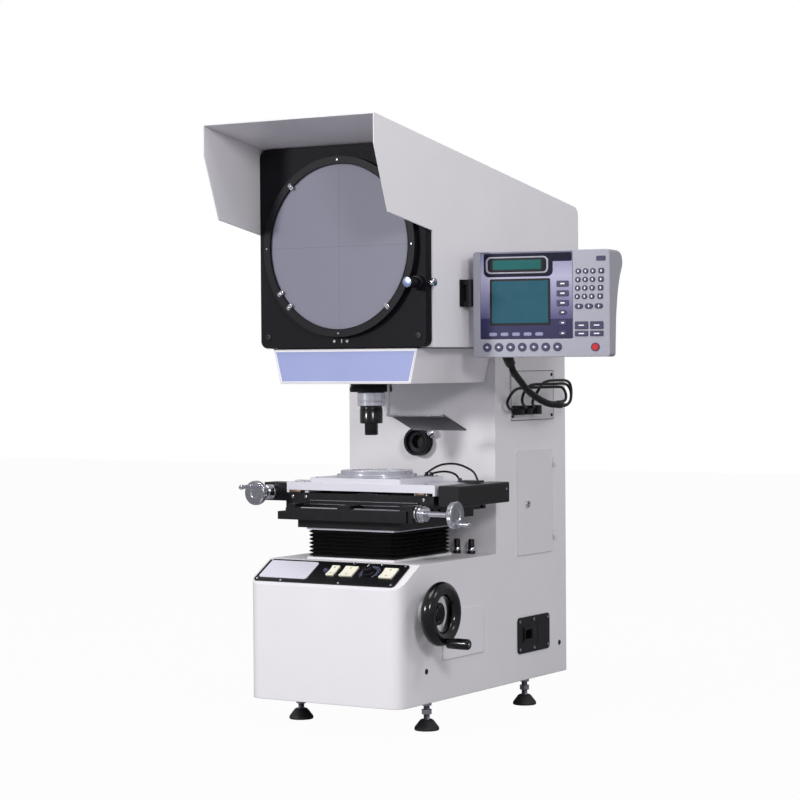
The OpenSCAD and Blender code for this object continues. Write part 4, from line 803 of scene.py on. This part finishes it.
def levelling_foot(node, x, y):
    """Domed rubber pad, steel stud with its thread, a nut on the stud and a jam nut under the cabinet."""
    base = facing((x, y, 0), UP)
    dome = [(0, 0), (22, 0), (23, 1.2), (23, 4), (22, 6.5), (19.5, 9.5), (15, 15.5), (12.5, 18.5), (10, 20),
            (0, 20)]
    turned(node + "_pad", dome, base, rubber, node, 48, replaces=node)
    bm = bmesh.new()
    thread = [(6 - (0.7 if k % 2 else 0), 20 + 1.0 * k) for k in range(54)]
    lathe(bm, [(0, 20)] + thread + [(0, 74)], base, 32)
    for low, high in ((30, 38), (46, 54.5)):
        hexagon = [(10.5 * math.cos(math.pi * k / 3), 10.5 * math.sin(math.pi * k / 3)) for k in range(6)]
        plate(bm, hexagon, high - low, base, low)
        lathe(bm, [(6, low - 0.6), (9, low - 0.6), (9, low)], base, 32)
    piece(node + "_stud", bm, steel, node)


FOOT_X, FOOT_FRONT, FOOT_BACK = 140, 134, 503
for end, y in (("f", FOOT_FRONT), ("r", FOOT_BACK)):
    for hand, x in (("l", -FOOT_X), ("r", FOOT_X)):
        levelling_foot("foot_" + end + hand, x, y)


def folded_bellows():
    """Pleated cloth: a zigzag of soft folds round a rectangle, the corners pulled in a little."""
    low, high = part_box("bellows")
    bm = bmesh.new()
    folds, ring_points = 7, []
    levels = folds * 4
    for k in range(levels + 1):
        z = low[2] + (high[2] - low[2]) * k / levels
        out = 0.5 - 0.5 * math.cos(2 * math.pi * k / 4)
        inset = 6 * MM * (1 - out ** 0.7)
        x0, x1, y0, y1 = low[0] + inset, high[0] - inset, low[1] + inset, high[1] - inset
        w, h, r = x1 - x0, y1 - y0, 5 * MM
        mid_x, mid_y = (x0 + x1) / 2, (y0 + y1) / 2
        wave = 0.5 * MM * out
        ring_points.append([bm.verts.new((mid_x + px, mid_y + py, z + wave * math.sin(9 * px / 0.09)))
                            for px, py in dense_outline(w, h, r)])
    for a, b in zip(ring_points, ring_points[1:]):
        for k in range(len(a)):
            n = (k + 1) % len(a)
            bm.faces.new((a[k], a[n], b[n], b[k]))
    return bm


def dense_outline(w, h, r, along=16):
    """A rounded rectangle with extra points on its long sides."""
    corners = round_box(0, 0, w, h, r, 4)
    points = []
    for k, p in enumerate(corners):
        q = corners[(k + 1) % len(corners)]
        points.append(p)
        if math.dist(p, q) > 4 * r:
            points += [(p[0] + (q[0] - p[0]) * s / along, p[1] + (q[1] - p[1]) * s / along)
                       for s in range(1, along)]
    return points


cloth = piece("bellows_pleats", folded_bellows(), bellows_cloth, None, smooth=50,
              replaces="bellows")
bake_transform(cloth)

# Screen ring, its clips and screws.
ring_face = facing((0, RING_FRONT, SCREEN_Z), FRONT)
DOT_PATH, CLIP_PATH = 159.5, 156  # radii of the rows of dots and clips
bm = bmesh.new()
for angle in (90, 180, 0, 270, 45, 225):
    a = math.radians(angle)
    spot = ring_face @ Matrix.Translation((DOT_PATH * math.cos(a), DOT_PATH * math.sin(a), 0))
    lathe(bm, [(0, 0.4), (1.8, 0.4), (1.8, 0), (0, 0)], spot, 20)
piece("ring_dots", bm, steel, "screen")
bm = bmesh.new()
for x, z in ((-104, 1004), (-131, 804), (-108, 781), (110, 775)):
    a = math.atan2(z - SCREEN_Z, x)
    seat = Matrix.Translation((CLIP_PATH * math.cos(a), CLIP_PATH * math.sin(a), 0))
    spot = ring_face @ seat @ Matrix.Rotation(a, 4, "Z")
    plate(bm, round_box(-2, 0, 13, 8, 2.5), 1.2, spot)
    lathe(bm, [(0, 3.4), (2.6, 3.4), (3.2, 2.8), (3.2, 1.2), (0, 1.2)], spot, 24)
piece("chart_clips", bm, chrome, "screen")
edging("screen_bead", round_box(0, 0, 307, 307, 153.4, 32), round_box(0, 0, 303.8, 303.8, 151.8, 32), 0.6,
       ring_face, -0.1, ring_black, "screen")
screw_set("frame_screws", frame_face, [(-166, 724), (166, 724)], 6.5, abs_black, "frame", 1.5)
screw_set("index_screws", frame_face, [(-16, 716), (12, 716)], 3.2, chrome, "frame", 1.5)
index = [(-1.4, 713), (1.4, 713), (1.4, 718), (0, 721), (-1.4, 718)]
flat("angle_index", [index], 0.8, frame_face, 0, steel, "frame")
DRIVE_X, DRIVE_Z = 166, SCREEN_Z - 70
drive = facing((DRIVE_X, FRAME_FRONT, DRIVE_Z), FRONT)
turned("ring_drive_knob", [(4, -19), (4, 0.4), (12.8, 0.4), (13.2, 1.2), (13.2, 9.2), (12.8, 10), (6, 10.4),
                           (6, 14), (9.4, 14), (10, 15), (10, 37), (9.2, 38.2), (0, 38.2)], drive,
       ring_black, "ring_knob", 48, replaces="ring_knob")
turned("ring_knob_cap", [(9.3, 38.15), (8.6, 38.4), (0, 38.4)], drive, blue_steel, "ring_knob",
       48)
CLAMP_LONG = 14
clamp_x = span("ring_lock", 0)[1] / MM - zero.x / MM - CLAMP_LONG
clamp = facing((clamp_x, FRAME_FRONT + 10, DRIVE_Z), RIGHT, BACK)
turned("ring_clamp_screw", [(3, -11), (3, 0.4), (5, 0.4), (5, 5), (7, 5), (7.5, 6), (7.5, 12.6), (6.8, 14),
                            (0, CLAMP_LONG)], clamp, chrome, "ring_lock", 40,
       replaces="ring_lock")

# Heights of the lens from its seat in the head down to its nose.
LOW_Z, MOUNT_Z, COLLAR_Z, BARREL_Z, NOSE_Z = 637, 621, 595, 562, 540
lens_axis = facing((0, LENS_Y, 0), UP)
turned("lens_mount_disc", [(22.06, MOUNT_Z), (38.5, MOUNT_Z), (40, MOUNT_Z + 1.5), (40, MOUNT_Z + 9),
                           (38.4, MOUNT_Z + 10), (38.4, LOW_Z), (22.06, LOW_Z), (22.06, MOUNT_Z)], lens_axis,
       ring_black, "frame", replaces="lens_mount")
turned("lens_barrel", [(9.5, NOSE_Z + 1), (11.5, NOSE_Z), (12.5, NOSE_Z + 1), (12.5, BARREL_Z - 1.5),
                       (13, BARREL_Z), (20.5, BARREL_Z), (21.5, BARREL_Z + 1), (21.5, COLLAR_Z - 6),
                       (20.8, COLLAR_Z - 5), (20.8, COLLAR_Z - 1), (21.5, COLLAR_Z), (9.5, COLLAR_Z)],
       lens_axis, phenolic, "objective", replaces="objective")
turned("lens_collar", [(9.5, COLLAR_Z), (25, COLLAR_Z), (26, COLLAR_Z + 1), (26, COLLAR_Z + 7),
                       (25.2, COLLAR_Z + 8), (25.2, COLLAR_Z + 10), (26, COLLAR_Z + 11), (26, MOUNT_Z - 1.6),
                       (25, MOUNT_Z - 0.5), (21.9, MOUNT_Z - 0.5), (21.9, LOW_Z + 4), (9.5, LOW_Z + 4)],
       lens_axis, turned_metal, "objective")
turned("lens_glass", [(0, NOSE_Z + 3), (5, NOSE_Z + 3.3), (9.4, NOSE_Z + 4.5), (9.4, NOSE_Z + 8),
                      (0, NOSE_Z + 8)], lens_axis, optical_glass, "objective")

# Surface lamp on the column's front and its thumbscrew.
LAMP_Z, COLUMN_Y = 522, 348
lamp_axis = facing((0, COLUMN_Y, LAMP_Z), FRONT)
turned("lamp_ring", [(13, 0), (27, 0), (27, 3), (26.2, 4), (26.2, 18.5), (27, 19.5), (27, 21), (26, 22),
                     (21.8, 22), (21, 21), (21, 14), (13, 13), (13, 0)], lamp_axis, ring_black, "frame",
       replaces="surface_lamp")
turned("lamp_tube", [(0, 0), (19.5, 0), (19.5, -50), (0, -50)], lamp_axis, abs_black, "frame")
thumb = Vector((math.cos(math.radians(30)), 0, math.sin(math.radians(30))))
turned("lamp_thumbscrew", [(2.4, 25.5), (2.4, 29), (7.4, 29), (8.2, 30), (8.2, 41), (7.4, 42), (0, 42)],
       facing((0, COLUMN_Y - 11, LAMP_Z), thumb, BACK), chrome, "frame", 28)

# Bare plate with a pale border on the front of the lower head, and the dark joint under the upper housing.
LOWER_FRONT, HEAD_Z = 80, 703
lower_face = facing((0, LOWER_FRONT, 0), FRONT)


def trapezoid(top, bottom, z1, z0):
    """Outline of a plate that narrows downwards."""
    return [(-top / 2, z1), (-bottom / 2, z0), (bottom / 2, z0), (top / 2, z1)]


flat("head_plate", [trapezoid(308, 280, HEAD_Z - 6, LOW_Z + 4.5)], 0.8, lower_face, 0, head_film, "frame")
edging("head_plate_border", trapezoid(311, 283, HEAD_Z - 4.6, LOW_Z + 3.2),
       trapezoid(307.4, 279.4, HEAD_Z - 6.2, LOW_Z + 4.7), 1.0, lower_face, 0, white_line, "frame")
bm = bmesh.new()
for middle, wide, deep, rim, thick in ((488.5, 330, 278, 1.8, 1.2), (213.8, 315, 265, 2.0, 1.6)):
    outer = round_box(0, middle, wide + 2 * rim, deep + 2 * rim, 0.4, 1)
    inner = round_box(0, middle, wide, deep, 0.2, 1)
    band(bm, outer, inner, thick, facing((0, 0, HEAD_Z - thick), UP))
piece("head_joint", bm, rubber, "frame")

# Stage: stops, scale strip and screws.
SADDLE_FRONT, STRIP_X = 112, 19
saddle_face = facing((0, SADDLE_FRONT, 0), FRONT)
bm = bmesh.new()
for left, right in ((-147, -122), (132, 152)):
    block(bm, (left, 111, 432.0), (right, 122, 436.7), 0.5)
piece("stop_blocks", bm, brass, "table")
flat("x_scale_strip", [round_box(STRIP_X, 414.5, 240, 11, 0.8)], 1.6, saddle_face, 0, stage_black, "saddle")
flat("x_scale_edges", [round_box(STRIP_X, z, 238, 1.1, 0.4) for z in (411, 418)], 0.3, saddle_face, 1.6,
     steel, "saddle")
screw_set("saddle_screws", saddle_face, [(-140, 424), (-110, 424), (150, 424), (162, 404)], 3.2, steel,
          "saddle", 1.2)
# Graduated edge of the rotary ring, and the screws of plate, table and cover.
ROTARY_Y, RIM, HALF_LINE, STEPS = 189, 75.0, 0.18, 72
rotary_axis = facing((0, ROTARY_Y, 0), UP)
ring_top = PLATE_TOP + 5.4
bm = bmesh.new()
for k in range(STEPS):
    start = RIM - (4.2 if k % 6 == 0 else 2.4)
    spot = rotary_axis @ Matrix.Rotation(2 * math.pi * k / STEPS, 4, "Z")
    plate(bm, [(start, -HALF_LINE), (RIM, -HALF_LINE), (RIM, HALF_LINE), (start, HALF_LINE)], 0.08, spot,
          ring_top)
piece("rotary_graduation", bm, abs_black, "rotary")
top_face = facing((0, 0, PLATE_TOP), UP)
screw_set("rotary_plate_screws", top_face, [(-90, 121), (90, 121), (-90, 257), (90, 257)], 3.6, steel,
          "table", 1.2)
table_top = facing((0, 0, TABLE_TOP), UP)
screw_set("table_screws", table_top, [(-140, 122), (-140, 258), (150, 122), (164, 258), (-120, 122),
                                      (-120, 258)], 3.6, steel, "table", 0.8)
COVER_SIDE = 225
cover_side = facing((COVER_SIDE, 0, 0), RIGHT, BACK)
screw_set("scale_cover_side_screws", cover_side, [(286, 438)], 2.6, steel, "saddle", 1.0)


def knurled(bm, place, r, low, high, teeth):
    """A knurled band: fine teeth round a disc, edges broken."""
    outline = []
    for k in range(teeth * 2):
        a = math.pi * k / teeth
        outline.append(((r - 0.5 * (k % 2)) * math.cos(a), (r - 0.5 * (k % 2)) * math.sin(a)))
    plate(bm, outline, high - low, place, low)


# Cranks of the two slides: a knurled wheel on a long spindle, with a small handle.
X_CRANK = Vector((154, 84, 401))
x_axis = facing(X_CRANK, RIGHT, BACK)
bm = bmesh.new()
lathe(bm, [(0, -277), (6, -277), (6, 0.4), (15.4, 0.4), (16, 1), (16, 3.4), (15.2, 4), (15.2, 7), (16, 7.6),
           (16, 10.4), (14, 11), (14, 19), (13, 20), (5, 20.5), (5, 66), (7, 66.5), (22.5, 73), (24, 75),
           (24, 83.4), (22.5, 85), (12, 85), (10, 83.6), (0, 83.6)], x_axis, 64)
knurled(bm, x_axis, 25, 75.5, 83, 72)
pin = facing(X_CRANK - Vector((0, 0, 17)), RIGHT, BACK)
lathe(bm, [(2.2, 84), (4, 86), (4.4, 92), (3.6, 97), (4.6, 103), (5, 106), (4.4, 109), (0, 110)], pin, 32)
piece("x_crank_turned", bm, chrome, "x_crank", replaces="x_crank")
turned("x_crank_ring", [(15.2, 4.1), (15.7, 4.1), (15.7, 6.9), (15.2, 6.9)], x_axis, rubber, "x_crank")
Y_CRANK = Vector((-186, SADDLE_FRONT - 0.4, 432.4))
y_axis = facing(Y_CRANK, FRONT)
bm = bmesh.new()
lathe(bm, [(0, -122), (5, -122), (5, 0), (13.4, 0), (14, 0.8), (14, 12), (13.2, 12.6), (13.2, 18),
           (14, 18.6), (14, 29), (13, 30), (7, 30.5), (7, 47), (10, 47.5), (20.5, 49), (22, 51), (22, 59.8),
           (20.5, 62), (9, 62), (8, 60.8), (0, 60.8)], y_axis, 64)
knurled(bm, y_axis, 23, 51.5, 59.5, 66)
pin = facing(Y_CRANK + Vector((-10, 0, 12)), FRONT)
lathe(bm, [(2.2, 61), (3.8, 63), (4.2, 70), (3.4, 77), (4.4, 84), (4.8, 88), (4.2, 91), (0, 92)], pin, 32)
piece("y_crank_turned", bm, chrome, "y_crank", replaces="y_crank")

# Handwheel: its hub cap and its turning handle.
WHEEL, GRIP_PATH = Vector((205, 80, 222)), 52
wheel_axis = facing(WHEEL, RIGHT, BACK)
turned("wheel_hub_cap", [(0, -0.6), (4, -0.6), (4.6, 0.2), (11.5, 0.2), (13.4, -0.8), (14.1, -2.2),
                         (14.1, -3.9), (0, -3.9)], wheel_axis, ring_black, "handwheel", 40)
grip = facing(WHEEL - Vector((0, 0, GRIP_PATH)), RIGHT, BACK)
turned("wheel_handle_grip", [(4.06, 14.4), (8.7, 14.4), (9.5, 15.3), (9.7, 17.5), (10, 34), (10, 54),
                             (9.6, 57), (7.6, 59), (4.06, 59.4), (4.06, 14.4)], grip, phenolic,
       "handwheel_handle", 48, replaces="handwheel_handle")
turned("wheel_handle_screw", [(0, 58.8), (1.2, 58.8), (1.4, 59.4), (3.6, 59.4), (3.9, 58.9), (3.9, 56.5),
                              (0, 56.5)], grip, steel, "handwheel_handle", 32)

# Right side: connector plate, inlet and lock. x runs back, y up.
screw_set("connector_plate_screws", side, [(411, 650), (568, 650), (411, 570), (568, 570)], 3.4, abs_black,
          "frame", 1.4, PLATE)
CONNECTORS = (490.5, 610)
edging("connector_plate_edge", round_box(*CONNECTORS, 171.6, 96.6, 2.3),
       round_box(*CONNECTORS, 169.4, 94.4, 1.6), 0.3, side, PLATE, rubber, "frame")
DECK_PLUGS, DECK_Z = ((88, 334), (120, 334)), 309
bm = bmesh.new()
for y in PLUG_Y:
    block(bm, (SIDE + PLATE + 0.05, y - 10, PLUG_Z - 9), (SIDE + PLATE + PLUG_OUT, y + 10, PLUG_Z + 9), 2.2)
    lathe(bm, [(4.5, 9), (4.5, 12.5), (3.9, 13.2), (4.3, 14), (3.6, 16), (2.55, 16)],
          facing((PLUG_X, y, LEAD_Z), FRONT), 28)
for x, y in DECK_PLUGS:
    lathe(bm, [(7.5, 0), (7.5, 5), (7, 6), (6, 6), (6, 26), (5, 28), (0, 28)], facing((x, y, DECK_Z), UP),
          32)
piece("cable_plugs", bm, abs_black, "frame", replaces="plugs")
bm = bmesh.new()
for x, y in DECK_PLUGS:
    lathe(bm, [(6, 6), (7.4, 6), (7.4, 11), (6.8, 12), (6, 12)], facing((x, y, DECK_Z), UP), 32)
piece("deck_plug_nuts", bm, chrome, "frame")
screw_set("inlet_screws", side, [(435, 116), (491, 115), (548, 116), (435, 170), (491, 171), (548, 170)],
          3.2, steel, "frame", 1.2, PLATE)
INLET_Y, INLET_Z = 465, 144
edging("inlet_rim", round_box(INLET_Y, INLET_Z, 30, 22, 2), round_box(INLET_Y, INLET_Z, 26, 18, 1), 1.4,
       side, 4.0, abs_black, "frame")
pins = [(INLET_Y, INLET_Z - 4), (INLET_Y - 6, INLET_Z + 4), (INLET_Y + 6, INLET_Z + 4)]
flat("inlet_pins", [round_box(y, z, 2, 5, 0.4) for y, z in pins], 10, side, -14, steel, "frame")
flat("inlet_switch", [round_box(INLET_Y + 22, INLET_Z, 9.4, 17.4, 1)], 3, side, 2, phenolic, "frame")
flat("inlet_bare_label", [round_box(INLET_Y + 61, INLET_Z, 40, 44, 2)], 0.4, side, PLATE, film_black,
     "frame")
bm = bmesh.new()
for y, z in ((91, 114), (599.6, 113.6)):
    lathe(bm, [(0, 0.3), (3.6, 0.3), (4, 0.8), (4.8, 0.8), (5.3, 0), (0, 0)],
          side @ Matrix.Translation((y, z, 0)), 24)
piece("side_plugs", bm, abs_black, "frame")
LOCK = (467, 398)
bm = bmesh.new()
spot = side @ Matrix.Translation((*LOCK, PLATE + 0.3))
lathe(bm, [(0, 2.6), (3, 2.6), (3.4, 3.4), (6.2, 3.4), (7, 2.6), (7, 0), (0, 0)], spot, 36)
lathe(bm, [(0, -0.2), (5.9, -0.2), (5.9, -16.5), (0, -16.5)], spot, 36)
piece("lock_barrel", bm, chrome, "door_lock", replaces="door_lock")
flat("lock_keyway", [round_box(*LOCK, 1.2, 5, 0.3)], 0.15, side, PLATE + 2.9, rubber, "door_lock")
